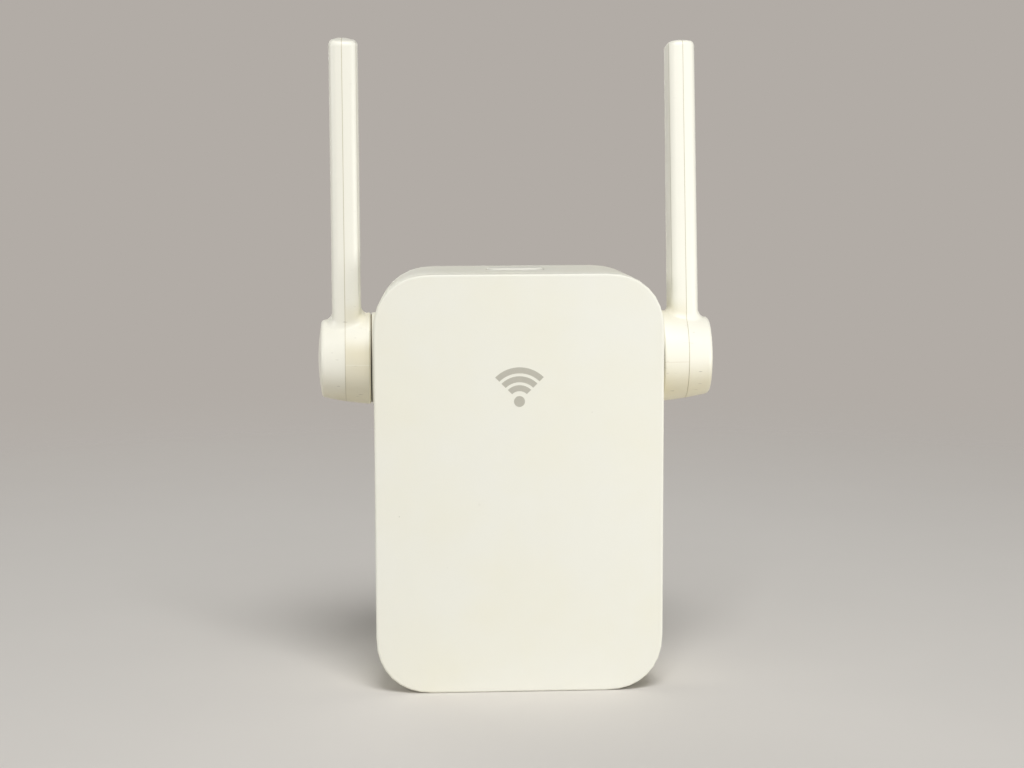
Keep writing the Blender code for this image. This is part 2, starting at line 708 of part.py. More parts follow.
def blade_form():
    """The blade, flowing up out of the barrel in a fillet and ending in a softened tip."""
    section = blade_outline(BLADE_INNER, BLADE_OUTER, BLADE_ROOT_DEPTH / 2)
    normals = outward(section)
    root = []
    loops = []
    for angle in quarter_turn(EDGE_STEPS + 2):
        loop = []
        for (x, y), (nx, ny) in zip(section, normals):
            spread = (FILLET_SIDE * nx ** 2 + FILLET_FRONT * ny ** 2) * (1 - math.sin(angle))
            rise = (FILLET_SIDE_RISE * nx ** 2 + FILLET_FRONT_RISE * ny ** 2) * (1 - math.cos(angle))
            u = x + spread * nx
            v = y + spread * ny
            loop.append((u, v, math.sqrt(hub_radius(u) ** 2 - v ** 2) - FIT / 2 + rise))
        if not loops:
            root = [(u, v, HUB_OUTER_RADIUS / 3) for u, v, _ in loop]
        loops.append(loop)
    loops.insert(0, root)
    for angle in quarter_turn():
        shrink = 1 - math.cos(angle)
        tip = blade_outline(BLADE_INNER - TIP_INNER * shrink, BLADE_OUTER - TIP_OUTER * shrink,
                            BLADE_TIP_DEPTH / 2 - TIP_OUTER * shrink)
        loops.append(place(tip, "Z", BLADE_LENGTH - TIP_DOME - TIP_ROUND * (1 - math.sin(angle))))
    inner = (BLADE_INNER - TIP_INNER) / 2
    outer = (BLADE_OUTER - TIP_OUTER) / 2
    top = blade_outline(inner, outer, BLADE_TIP_DEPTH / 4)
    loops.append(place(top, "Z", BLADE_LENGTH))
    return skin(loops)


def channel_form():
    """The blade's hollow, from the barrel to just short of the tip."""
    low = (PARTING_X - CHANNEL_INNER, -CHANNEL_HALF, 0.0)
    return block(low, (PARTING_X + CHANNEL_OUTER, CHANNEL_HALF, RADIATOR_TOP + FIT))


def half_form(inner):
    """All that lies on one side of the parting plane, to be cut away."""
    reach = BLADE_LENGTH + OVERRUN
    if inner:
        return block((PARTING_X - PARTING_GAP / 2, -reach, -reach), (HUB_END_X + reach, reach, reach))
    return block((PIVOT_END_X - reach, -reach, -reach), (PARTING_X + PARTING_GAP / 2, reach, reach))


def clip_outline():
    """Flat outline of the open retaining clip."""
    inner = GROOVE_RADIUS + FIT
    outer = inner + CLIP_RIM
    mouth = math.radians(CLIP_MOUTH_DEGREES)
    angles = [mouth / 2 + (math.tau - mouth) * k / ROUND_STEPS for k in range(ROUND_STEPS + 1)]
    points = [(outer * math.sin(angle), -outer * math.cos(angle)) for angle in angles]
    return points + [(inner * math.sin(angle), -inner * math.cos(angle)) for angle in reversed(angles)]


def build_aerial(side, name, looks):
    """One aerial on its hinge: two half shells, radiator, lead and clip. Its washer stays on the housing."""
    hinge = bpy.data.objects.new(f"{name}_hinge", None)
    bpy.context.scene.collection.objects.link(hinge)
    hinge.location = (0.0, HUB_Y, HUB_Z)
    lean = LEFT_LEAN_DEGREES if side < 0 else RIGHT_LEAN_DEGREES
    hinge.rotation_euler = (-math.radians(lean), 0.0, 0.0)
    forms = {"blade": blade_form(), "pivot": pivot_form(), "hollow": hub_hollow(), "bore": pivot_hollow(),
             "channel": channel_form(), "outer_half": half_form(True), "inner_half": half_form(False)}
    tools = {key: make(f"{name}_{key}", bm, parent=hinge, side=side) for key, bm in forms.items()}
    inner = make(f"{name}_aerial_inner_shell", hub_form(), looks["shell"], hinge, side)
    fuse(inner, tools["blade"], tools["pivot"])
    cut(inner, tools["hollow"], tools["channel"], tools["bore"], tools["outer_half"])
    outer = make(f"{name}_aerial_outer_shell", hub_form(), looks["shell"], hinge, side)
    fuse(outer, tools["blade"])
    cut(outer, tools["hollow"], tools["channel"], tools["inner_half"])
    thick = RADIATOR_THICKNESS / 2
    wide = CHANNEL_HALF - FIT
    strip = block((RADIATOR_X - thick, -wide, RADIATOR_LOW), (RADIATOR_X + thick, wide, RADIATOR_TOP))
    make(f"{name}_radiator", strip, looks["board"], hinge, side)
    clip = prism(clip_outline(), "X", CLIP_X, CLIP_X + CLIP_THICKNESS)
    make(f"{name}_retaining_clip", clip, looks["steel"], hinge, side)
    bend = min(LEAD_BEND, RADIATOR_LOW / 2)
    route = [(RADIATOR_X, 0.0, RADIATOR_LOW - FIT), (RADIATOR_X, 0.0, bend),
             (RADIATOR_X - bend / 4, 0.0, bend / 4), (RADIATOR_X - bend, 0.0, 0.0), (PIVOT_END_X, 0.0, 0.0)]
    lead(f"{name}_aerial_lead", [(side * x, y, z) for x, y, z in route], looks["cable"], hinge)
    start = PIVOT_END_X - FIT
    drop = MAIN_REAR_Y + FIT + LEAD_RADIUS - HUB_Y
    route = [(start, HUB_Y, HUB_Z), (start + drop / 2, HUB_Y + drop / 5, HUB_Z),
             (start + drop, HUB_Y + drop / 2, HUB_Z), (start + drop * 1.2, MAIN_REAR_Y + FIT, HUB_Z)]
    lead(f"{name}_board_lead", [(side * x, y, z) for x, y, z in route], looks["cable"])
    hole = PIVOT_RADIUS + PIVOT_PLAY
    ring = [(WASHER_X, hole), (WASHER_X, WASHER_RADIUS), (SEAT_X - FIT, WASHER_RADIUS), (SEAT_X - FIT, hole)]
    washer = turned(ring, "X", (0.0, HUB_Y, HUB_Z), PIVOT_STEPS, ring=True)
    make(f"{name}_friction_washer", washer, looks["steel"], side=side)


def screw(name, x, z, front_y, look):
    """A pan-head screw through a board into its post, no longer than the post is deep."""
    head = front_y - FIT
    length = min(SCREW_LENGTH, FLOOR_Y - FIT - head)
    edge = SCREW_HEAD_HEIGHT / 2
    profile = [(head - SCREW_HEAD_HEIGHT, SCREW_HEAD_RADIUS - edge), (head - edge, SCREW_HEAD_RADIUS),
               (head, SCREW_HEAD_RADIUS), (head, SCREW_RADIUS), (head + length, SCREW_RADIUS)]
    make(name, turned(profile, "Y", (x, 0.0, z), SMALL_ROUND_STEPS), look)


def board(name, half_width, span, corner, front_y, places, looks):
    """A circuit board between two heights, with its screw holes and screws."""
    low, high = span
    outline = rounded(2 * half_width, high - low, corner)
    centre = (0.0, 0.0, (low + high) / 2)
    plate = make(name, prism(outline, "Y", front_y, front_y + BOARD_THICKNESS, centre), looks["board"])
    for k, (x, z) in enumerate(places, 1):
        ends = (front_y - OVERRUN, front_y + BOARD_THICKNESS + OVERRUN)
        hole = [(y, SCREW_RADIUS + FIT) for y in ends]
        cut(plate, make(f"{name}_hole_{k}", turned(hole, "Y", (x, 0.0, z), SMALL_ROUND_STEPS)))
        screw(f"{name}_screw_{k}", x, z, front_y, looks["steel"])


def build_switches(looks):
    """The top button with its switch and plunger, and the reset switch and plunger behind the pinhole."""
    middle = (FLANGE_FRONT_Y + FLANGE_REAR_Y) / 2
    flange = rounded(BUTTON_WIDTH + 2 * FLANGE_RIM, FLANGE_REAR_Y - FLANGE_FRONT_Y, BUTTON_DEPTH / 2)
    centre = (0.0, middle, 0.0)
    cap_top = outer_height(BUTTON_Y) + BUTTON_STAND

    def cap(z, inset):
        """The button's outline at a height."""
        outline = rounded(BUTTON_WIDTH - 2 * inset, BUTTON_DEPTH - 2 * inset, BUTTON_DEPTH / 2 - inset)
        return place(outline, "Z", z, (0.0, BUTTON_Y, 0.0))

    loops = [place(flange, "Z", FLANGE_LOW, centre), place(flange, "Z", FLANGE_TOP, centre)]
    loops += [cap(FLANGE_TOP, 0.0), cap(cap_top - BUTTON_EDGE, 0.0), cap(cap_top, BUTTON_EDGE)]
    make("pairing_button", skin(loops), looks["button"])
    sites = (("pairing", 0.0, SWITCH_TOP, FLANGE_LOW - FIT, -1),
             ("reset", RESET_X, RESET_LOW, RESET_TIP, 1))
    for name, x, face, tip, inward in sites:
        far = face + inward * SWITCH_HEIGHT
        low = (x - SWITCH_WIDTH / 2, MAIN_REAR_Y + FIT, min(face, far))
        high = (x + SWITCH_WIDTH / 2, MAIN_REAR_Y + FIT + SWITCH_DEPTH, max(face, far))
        body = make(f"{name}_switch", block(low, high), looks["black"])
        centre = (x, SWITCH_Y, 0.0)
        well = face + inward * (PLUNGER_SINK + BUTTON_TRAVEL + FIT)
        bore = [(face - inward * OVERRUN, PLUNGER_RADIUS + FIT), (well, PLUNGER_RADIUS + FIT)]
        cut(body, make(f"{name}_switch_bore", turned(bore, "Z", centre, SMALL_ROUND_STEPS)))
        stem = [(tip, PLUNGER_RADIUS), (face + inward * PLUNGER_SINK, PLUNGER_RADIUS)]
        make(f"{name}_plunger", turned(stem, "Z", centre, SMALL_ROUND_STEPS), looks["button"])


def build_socket(looks):
    """The ethernet socket, open downwards, with its row of contacts and its magnetics."""
    low = (-SOCKET_WIDTH / 2, SOCKET_FRONT_Y, SOCKET_LOW)
    shell = make("ethernet_socket", block(low, (SOCKET_WIDTH / 2, SOCKET_REAR_Y, SOCKET_TOP)), looks["black"])
    port = block((-PORT_WIDTH / 2, PORT_FRONT_Y, SOCKET_LOW - OVERRUN),
                 (PORT_WIDTH / 2, PORT_REAR_Y, SOCKET_LOW + PORT_LENGTH))
    latch = block((-LATCH_WIDTH / 2, PORT_REAR_Y - OVERRUN, SOCKET_LOW - OVERRUN),
                  (LATCH_WIDTH / 2, PORT_REAR_Y + LATCH_DEPTH, SOCKET_LOW + PORT_LENGTH / 2))
    cut(shell, make("socket_port", port), make("socket_latch", latch))
    back = SOCKET_LOW + PORT_LENGTH - FIT
    root = back - CONTACT_BAR
    outline = comb(CONTACT_COUNT, CONTACT_PITCH, CONTACT_WIDTH, back, root, back - CONTACT_LENGTH)
    contacts = prism(outline, "Y", PORT_FRONT_Y + FIT, PORT_FRONT_Y + FIT + CONTACT_THICKNESS)
    make("socket_contacts", contacts, looks["gold"])
    rear = MAIN_FRONT_Y - FIT
    middle = (SOCKET_LOW + SOCKET_TOP) / 2
    low = (-MAGNETICS_WIDTH / 2, rear - MAGNETICS_THICKNESS, middle - MAGNETICS_HEIGHT / 2)
    high = (MAGNETICS_WIDTH / 2, rear, middle + MAGNETICS_HEIGHT / 2)
    make("ethernet_magnetics", block(low, high, MOULDED_EDGE), looks["black"])


def build_main_parts(looks):
    """Shield, heat sink, indicator lights and light guide on the front of the main board."""
    rear = MAIN_FRONT_Y - FIT
    top = rear - SHIELD_HEIGHT
    half = SHIELD_SIZE / 2
    can = block((-half, top, SHIELD_Z - half), (half, rear, SHIELD_Z + half), SHIELD_EDGE)
    make("processor_shield", can, looks["steel"])
    base = top - FIT
    pitch = (SINK_SIZE - FIN_WIDTH) / (FIN_COUNT - 1)
    outline = comb(FIN_COUNT, pitch, FIN_WIDTH, base, base - SINK_BASE, FRONT_INNER_Y + SINK_AIR)
    sink = prism(outline, "Z", -SINK_SIZE / 2, SINK_SIZE / 2, (0.0, 0.0, SHIELD_Z))
    make("heat_sink", sink, looks["aluminium"])
    for k in range(LED_COUNT):
        x = (k - (LED_COUNT - 1) / 2) * LED_PITCH
        low = (x - LED_WIDTH / 2, rear - LED_THICKNESS, LED_Z - LED_HEIGHT / 2)
        high = (x + LED_WIDTH / 2, rear, LED_Z + LED_HEIGHT / 2)
        make(f"indicator_{k + 1}", block(low, high), looks["clear"])
    back = rear - LED_THICKNESS - FIT
    outline = comb(LED_COUNT, LED_PITCH, GUIDE_WIDTH, back, back - GUIDE_BAR, FRONT_INNER_Y + FIT)
    guide = prism(outline, "Z", -GUIDE_HEIGHT / 2, GUIDE_HEIGHT / 2, (0.0, 0.0, LED_Z))
    make("light_guide", guide, looks["clear"])


def capacitor(name, x, z, radius, look):
    """An upright can with a pressed groove above its foot."""
    edge = radius / 6
    groove = PART_REAR_Y - radius / 2
    profile = [(PART_FRONT_Y, radius - edge), (PART_FRONT_Y + edge, radius),
               (groove - CAPACITOR_GROOVE, radius), (groove, radius - CAPACITOR_GROOVE),
               (groove + CAPACITOR_GROOVE, radius), (PART_REAR_Y, radius)]
    make(name, turned(profile, "Y", (x, 0.0, z)), look)


def build_power_parts(looks):
    """Transformer, capacitors, fuse and rectifier on the power board, and the header up to the main board."""
    depth = PART_REAR_Y - PART_FRONT_Y
    middle = (PART_REAR_Y + PART_FRONT_Y) / 2
    centre = (TRANSFORMER_X, middle, TRANSFORMER_Z)
    flange = rounded(TRANSFORMER_WIDTH, depth, WINDING_INSET)
    winding = rounded(TRANSFORMER_WIDTH - 2 * WINDING_INSET, depth - 2 * WINDING_INSET, 2 * WINDING_INSET)
    end = TRANSFORMER_LENGTH / 2
    waist = end - BOBBIN_FLANGE
    steps = ((flange, -end), (flange, -waist), (winding, -waist),
             (winding, waist), (flange, waist), (flange, end))
    spool = skin([place(points, "Z", along, centre) for points, along in steps])
    make("transformer", spool, looks["winding"])
    cans = (("input_capacitor_1", CAPACITOR_X, CAPACITOR_HIGH_Z, CAPACITOR_RADIUS),
            ("input_capacitor_2", CAPACITOR_X, CAPACITOR_LOW_Z, CAPACITOR_RADIUS),
            ("output_capacitor", OUTPUT_CAPACITOR_X, OUTPUT_CAPACITOR_Z, OUTPUT_CAPACITOR_RADIUS))
    for name, x, z, radius in cans:
        capacitor(name, x, z, radius, looks["black"])
    end = FUSE_LENGTH / 2
    neck = end - FUSE_CAP
    slim = FUSE_RADIUS - FUSE_CAP_STEP
    profile = ((-end, FUSE_RADIUS), (-neck, FUSE_RADIUS), (-neck, slim),
               (neck, slim), (neck, FUSE_RADIUS), (end, FUSE_RADIUS))
    centre = (FUSE_X, PART_REAR_Y - FUSE_RADIUS, FUSE_Z)
    make("fuse", turned(profile, "Z", centre, SMALL_ROUND_STEPS), looks["clear"])
    half = RECTIFIER_SIZE / 2
    low = (RECTIFIER_X - half, PART_REAR_Y - RECTIFIER_HEIGHT, RECTIFIER_Z - half)
    high = (RECTIFIER_X + half, PART_REAR_Y, RECTIFIER_Z + half)
    make("rectifier", block(low, high, MOULDED_EDGE), looks["black"])
    low = (HEADER_X - HEADER_WIDTH / 2, MAIN_REAR_Y + FIT, HEADER_Z - HEADER_HEIGHT / 2)
    high = (HEADER_X + HEADER_WIDTH / 2, PART_REAR_Y, HEADER_Z + HEADER_HEIGHT / 2)
    make("board_header", block(low, high, MOULDED_EDGE), looks["black"])


def main():
    """Builds every piece of the extender."""
    clear_scene()
    looks = {
        "shell": finish("cream_abs", (0.76, 0.75, 0.69), 0.42),
        "button": finish("white_abs", (0.78, 0.78, 0.75), 0.35),
        "black": finish("black_moulding", (0.02, 0.02, 0.02), 0.5),
        "board": finish("green_laminate", (0.03, 0.18, 0.08), 0.45),
        "steel": finish("bright_steel", (0.62, 0.62, 0.62), 0.3, 1.0),
        "aluminium": finish("anodised_aluminium", (0.6, 0.61, 0.63), 0.4, 1.0),
        "brass": finish("nickelled_brass", (0.72, 0.68, 0.58), 0.25, 1.0),
        "gold": finish("gold_plate", (0.83, 0.61, 0.2), 0.25, 1.0),
        "clear": finish("clear_acrylic", (0.8, 0.84, 0.86), 0.1),
        "winding": finish("yellow_winding_tape", (0.75, 0.55, 0.06), 0.4),
        "cable": finish("grey_cable_jacket", (0.12, 0.12, 0.12), 0.5),
    }
    build_front_cover(looks["shell"])
    build_rear_housing(looks["shell"])
    build_plug(looks["shell"], looks["brass"], looks["black"])
    main_span = (MAIN_LOW, MAIN_TOP)
    board("main_board", MAIN_HALF_WIDTH, main_span, BOARD_CORNER, MAIN_FRONT_Y, main_posts(), looks)
    power_span = (POWER_LOW, POWER_TOP)
    board("power_board", POWER_WIDTH / 2, power_span, POWER_CORNER, POWER_FRONT_Y, power_posts(), looks)
    build_main_parts(looks)
    build_switches(looks)
    build_socket(looks)
    build_power_parts(looks)
    build_aerial(-1, "left", looks)
    build_aerial(1, "right", looks)


main()
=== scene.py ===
"""Looks, camera and stage of the wall-plug wifi range extender, laid out as a Blender add-on.

Metres, +Z up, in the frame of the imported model: the wall is at +Y and the front faces -Y.
"""

import json
import math

import bmesh
import bpy
from bpy.props import FloatProperty, FloatVectorProperty, PointerProperty
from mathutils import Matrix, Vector

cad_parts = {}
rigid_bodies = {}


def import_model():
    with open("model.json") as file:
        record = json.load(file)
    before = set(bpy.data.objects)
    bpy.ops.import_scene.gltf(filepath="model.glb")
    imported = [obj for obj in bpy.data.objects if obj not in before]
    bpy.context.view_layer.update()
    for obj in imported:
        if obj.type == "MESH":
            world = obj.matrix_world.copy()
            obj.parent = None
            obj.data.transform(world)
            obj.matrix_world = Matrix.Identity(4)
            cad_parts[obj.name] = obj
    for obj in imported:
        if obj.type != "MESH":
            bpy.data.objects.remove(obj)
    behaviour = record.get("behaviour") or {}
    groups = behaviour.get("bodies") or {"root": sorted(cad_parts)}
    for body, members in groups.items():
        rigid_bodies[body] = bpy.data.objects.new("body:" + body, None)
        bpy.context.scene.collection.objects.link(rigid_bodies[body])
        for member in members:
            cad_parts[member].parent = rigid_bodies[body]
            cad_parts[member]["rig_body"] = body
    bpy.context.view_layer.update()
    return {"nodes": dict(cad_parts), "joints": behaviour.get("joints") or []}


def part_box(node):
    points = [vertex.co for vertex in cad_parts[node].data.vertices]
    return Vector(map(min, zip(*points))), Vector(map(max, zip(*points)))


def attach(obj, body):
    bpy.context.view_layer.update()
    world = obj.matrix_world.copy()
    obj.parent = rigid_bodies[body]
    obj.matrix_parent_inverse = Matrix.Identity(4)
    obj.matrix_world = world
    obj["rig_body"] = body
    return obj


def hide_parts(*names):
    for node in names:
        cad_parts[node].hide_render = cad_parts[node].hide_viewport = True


bl_info = {
    "name": "Range extender looks",
    "version": (1, 0, 0),
    "blender": (4, 5, 0),
    "location": "3D View > Sidebar > Extender",
    "description": "Dresses the packed range extender and sets its camera, light and floor",
    "category": "Object",
}

for left_over in list(bpy.data.objects):
    bpy.data.objects.remove(left_over)
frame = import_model()

MM = 0.001

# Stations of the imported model
FRONT_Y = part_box("front_cover")[0].y
FLOOR_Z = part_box("front_cover")[0].z
HUB_AXIS = Vector(frame["joints"][0]["pos_m"])

# Dressing of the CAD meshes
WELD_DISTANCE = 0.002 * MM
FLAT_ANGLE = math.radians(0.4)
SHARP_ANGLE = math.radians(32)
PLANE_SLACK = 0.01 * MM

# Heights over the hinge axis: where the wear of the hub fades out, and from where an aerial is all blade
HUB_WEAR_FULL = 8.0 * MM
HUB_WEAR_END = 18.0 * MM
BLADE_CLEAR = 20.0 * MM

# Painted shade where the blade's root meets the hub, drawn in the yellowed colour: its height over the hinge
# axis, its reach and its share
ROOT_RISE = 10.5 * MM
ROOT_REACH = 4.0 * MM
ROOT_SHADE_SHARE = 0.35

# Yellowing of each half shell: heights over the hinge axis where it starts and is full, and its share there.
# On the left inner half it starts higher up, and there it is partly painted shade on the half that faces the
# case.
YELLOWING_AND_SHADE = {
    "left_inner": (7.5 * MM, 2.0 * MM, 0.65),
    "left_outer": (0.0 * MM, -11.0 * MM, 0.7),
    "right_inner": (3.0 * MM, -8.0 * MM, 0.85),
    "right_outer": (3.0 * MM, -8.0 * MM, 0.85),
}

# Parting seam of the aerial shells: the groove left between the two halves
SEAM_GAP = 0.15 * MM
SEAM_DEPTH = {"left": 0.05 * MM, "right": 0.11 * MM}
SEAM_LAND = 0.45 * MM

# Dark fill at the bottom of the groove between cover and housing: dirt and painted shadow of the groove
CASE_SEAM_FILL = 0.15 * MM

# Felt washer in the gap between hub and boss; its black stands in for the shade inside the gap
HUB_GAP = 0.3 * MM
FELT_PLAY = 0.04 * MM
FELT_RADIUS = 10.1 * MM
FELT_BORE = 4.4 * MM
FELT_STEPS = 64

# Printed mark: arcs over a dot, each arc a quarter turn. The arcs stand off the dot by a part of their pitch,
# and the dot's radius is a part of the stroke and of the pitch.
ARC_COUNT = 3
ARC_HALF_ANGLE = math.radians(45)
ARC_STEPS = 24
ARC_STAND_OFF = 0.5
DOT_STROKE_SHARE = 0.62
DOT_PITCH_SHARE = 0.2
DOT_STEPS = 32
MARK_SINK = 0.01 * MM

# Camera, fitted to the outlines of the photograph
CAMERA_PLACE = (-0.03072, -0.54686, 0.09251)
CAMERA_TURN = (82.35, 0.1536, -3.2506)
CAMERA_SENSOR = 36.0
CAMERA_LENS = 80.859
CLIP_START = 0.01
CLIP_END = 50.0

# Stage
STAGE_TARGET = Vector((0.0, -0.02, 0.03))
FLOOR_RADIUS = 6.0
FLOOR_STEPS = 96
FLOOR_FADE_START = 0.1
FLOOR_FADE_END = 0.55

# How far towards the back the even light turns from its front strength to its rear one, from -1 to 1
FRONT_LIGHT_END = -0.9
REAR_LIGHT_START = 0.1
SIDE_LAMPS = ("left_fill", "right_fill")
REAR_LAMP = "rear_fill"

# Lamps: degrees to the right of the front, degrees up, distance, width and height in metres
LAMPS = {
    "soft_key": (6.0, 54.0, 1.0, 0.5, 0.5),
    "right_fill": (60.0, -6.0, 0.36, 0.2, 0.08),
    "left_fill": (-85.0, 10.0, 0.6, 0.3, 0.15),
    "rear_fill": (195.0, 5.0, 1.4, 1.2, 0.4),
}

# A wave texture at scale 1 repeats every tau / 20
WAVE_SCALE = math.tau / 20

# Sockets of the colour mixing node
FACTOR = 0
FIRST = 6
SECOND = 7
MIXED = 2


def linear(code):
    """Linear red, green and blue of an sRGB hex colour."""
    shares = [int(code[i:i + 2], 16) / 255 for i in (1, 3, 5)]
    return tuple(s / 12.92 if s <= 0.04045 else ((s + 0.055) / 1.055) ** 2.4 for s in shares)


def opaque(colour):
    """A colour as a socket takes it."""
    return (*colour, 1.0)


def deeper(colour, share):
    """A colour taken down to a share of its light."""
    return tuple(share * part for part in colour)


def per_metre(size):
    """Texture scale at which one cell of the pattern has this size."""
    return 1.0 / size


def add(tree, kind, sockets=None, give=0, **settings):
    """Adds a node, sets it, fills its sockets with values or links, and gives one of its outputs."""
    made = tree.nodes.new(kind)
    for key, value in settings.items():
        setattr(made, key, value)
    for key, value in (sockets or {}).items():
        if isinstance(value, bpy.types.NodeSocket):
            tree.links.new(value, made.inputs[key])
        else:
            made.inputs[key].default_value = value
    return made.outputs[give]


def start_material(name, sockets):
    """A new material with constants on its shader's own sockets, its tree and its object coordinates."""
    made = bpy.data.materials.new(name)
    made.use_nodes = True
    tree = made.node_tree
    shader = tree.nodes["Principled BSDF"]
    for key, value in sockets.items():
        shader.inputs[key].default_value = value
    place = add(tree, "ShaderNodeTexCoord", give="Object")
    return made, tree, shader, place


class CaseLook(bpy.types.PropertyGroup):
    """Finish of the case mouldings."""

    colour: FloatVectorProperty(
        name="Case colour", description="Cream ABS of the cover and housing",
        subtype="COLOR", min=0.0, max=1.0, default=linear("#E7E6DB"))
    aged: FloatVectorProperty(
        name="Aged colour", description="Where the case has yellowed a little",
        subtype="COLOR", min=0.0, max=1.0, default=linear("#E6E3D0"))
    grain: FloatProperty(
        name="Grain", description="Width of the tool texture's pits",
        unit="LENGTH", default=0.45 * MM, min=0.1 * MM, max=2.0 * MM)
    button: FloatVectorProperty(
        name="Button colour", description="Smooth ABS of the top button",
        subtype="COLOR", min=0.0, max=1.0, default=linear("#E6E5DA"))
    plate: FloatVectorProperty(
        name="Plate colour", description="White polycarbonate of the plug plate and its earth pin",
        subtype="COLOR", min=0.0, max=1.0, default=linear("#F1F0E8"))


class AerialLook(bpy.types.PropertyGroup):
    """Finish of the aerial shells."""

    colour: FloatVectorProperty(
        name="Shell colour", description="Smooth ABS of the aerial shells",
        subtype="COLOR", min=0.0, max=1.0, default=linear("#EFEDE0"))
    # Also the colour of the painted shade at the blade's root and on the left inner half
    aged: FloatVectorProperty(
        name="Aged colour", description="Yellowed ABS round the hinge",
        subtype="COLOR", min=0.0, max=1.0, default=linear("#E1D8B9"))
    scuff: FloatVectorProperty(
        name="Scuff colour", description="Dirt in the small scratches of the hubs",
        subtype="COLOR", min=0.0, max=1.0, default=linear("#9A9282"))


class MarkLook(bpy.types.PropertyGroup):
    """The generic signal mark printed on the cover."""

    colour: FloatVectorProperty(
        name="Print colour", description="Warm grey pad print",
        subtype="COLOR", min=0.0, max=1.0, default=linear("#B9B6A9"))
    width: FloatProperty(
        name="Width", description="Width of the outer arc",
        unit="LENGTH", default=11.0 * MM, min=2.0 * MM, max=40.0 * MM)
    height: FloatProperty(
        name="Height", description="Height of the mark's middle over the origin",
        unit="LENGTH", default=23.2 * MM, min=-40.0 * MM, max=40.0 * MM)
    stroke: FloatProperty(
        name="Stroke", description="Width of the printed lines",
        unit="LENGTH", default=1.35 * MM, min=0.2 * MM, max=4.0 * MM)
    film: FloatProperty(
        name="Film", description="Thickness of the ink",
        unit="LENGTH", default=0.03 * MM, min=0.005 * MM, max=0.2 * MM)


class StageLook(bpy.types.PropertyGroup):
    """Floor, light and background."""

    floor: FloatVectorProperty(
        name="Floor colour", description="Pale matt floor",
        subtype="COLOR", min=0.0, max=1.0, default=linear("#E0DCD6"))
    backdrop: FloatVectorProperty(
        name="Background colour", description="What the floor fades into",
        subtype="COLOR", min=0.0, max=1.0, default=linear("#B2ACA6"))
    ambient: FloatProperty(
        name="Ambient", description="Strength of the even light from the front",
        default=0.55, min=0.0, max=2.0)
    behind: FloatProperty(
        name="Ambient behind", description="Strength of the even light from behind",
        default=0.1, min=0.0, max=2.0)
    key_power: FloatProperty(
        name="Key power", description="Power of the large soft lamp",
        subtype="POWER", default=6.8, min=0.0, max=200.0)
    right_power: FloatProperty(
        name="Right power", description="Power of the low lamp on the right",
        subtype="POWER", default=0.46, min=0.0, max=200.0)
    left_power: FloatProperty(
        name="Left power", description="Power of the low lamp on the left",
        subtype="POWER", default=0.85, min=0.0, max=200.0)
    rear_power: FloatProperty(
        name="Rear power", description="Power of the low lamp that lights the back",
        subtype="POWER", default=12.6, min=0.0, max=200.0)


def spark_textured_abs(look):
    """Cream ABS moulded in a spark-eroded tool.

    The eye gets an even, matt, slightly warm skin with no mirror image, a fine grain in raking light,
    faint clouds where it has yellowed, and a few specks of dirt caught in the grain.
    """
    cloud_size = 22.0 * MM
    speck_spacing = 7.0 * MM
    speck_radius = 0.16 * MM
    made, tree, shader, place = start_material("spark_textured_cream_abs", {"IOR": 1.54})
    cloud = add(tree, "ShaderNodeTexNoise", {
        "Vector": place, "Scale": per_metre(cloud_size), "Detail": 3.0, "Roughness": 0.55})
    aged = add(tree, "ShaderNodeMapRange", {
        "Value": cloud, "From Min": 0.35, "From Max": 0.7, "To Max": 0.5})
    skin = add(tree, "ShaderNodeMix", {
        FACTOR: aged, FIRST: opaque(look.colour), SECOND: opaque(look.aged)},
        give=MIXED, data_type="RGBA")
    speck = add(tree, "ShaderNodeTexVoronoi", {
        "Vector": place, "Scale": per_metre(speck_spacing)}, give="Distance")
    dirt = add(tree, "ShaderNodeMapRange", {
        "Value": speck, "From Min": 0.5 * speck_radius / speck_spacing,
        "From Max": speck_radius / speck_spacing, "To Min": 0.4, "To Max": 0.0})
    base = add(tree, "ShaderNodeMix", {
        FACTOR: dirt, FIRST: skin, SECOND: opaque(linear("#77705F"))},
        give=MIXED, data_type="RGBA")
    tree.links.new(base, shader.inputs["Base Color"])
    rough = add(tree, "ShaderNodeMapRange", {
        "Value": cloud, "From Min": 0.3, "From Max": 0.7, "To Min": 0.5, "To Max": 0.58})
    tree.links.new(rough, shader.inputs["Roughness"])
    # The real pits are about 0.1 mm wide and are drawn wider, so that they show.
    pits = add(tree, "ShaderNodeTexNoise", {
        "Vector": place, "Scale": per_metre(look.grain), "Detail": 2.0, "Roughness": 0.6})
    bump = add(tree, "ShaderNodeBump", {"Height": pits, "Strength": 0.22, "Distance": 0.05 * MM})
    tree.links.new(bump, shader.inputs["Normal"])
    return made


def off_level(tree, along, level):
    """How far a coordinate lies from a level, to either side."""
    over = add(tree, "ShaderNodeMath", {0: along, 1: level}, operation="SUBTRACT")
    return add(tree, "ShaderNodeMath", {0: over}, operation="ABSOLUTE")


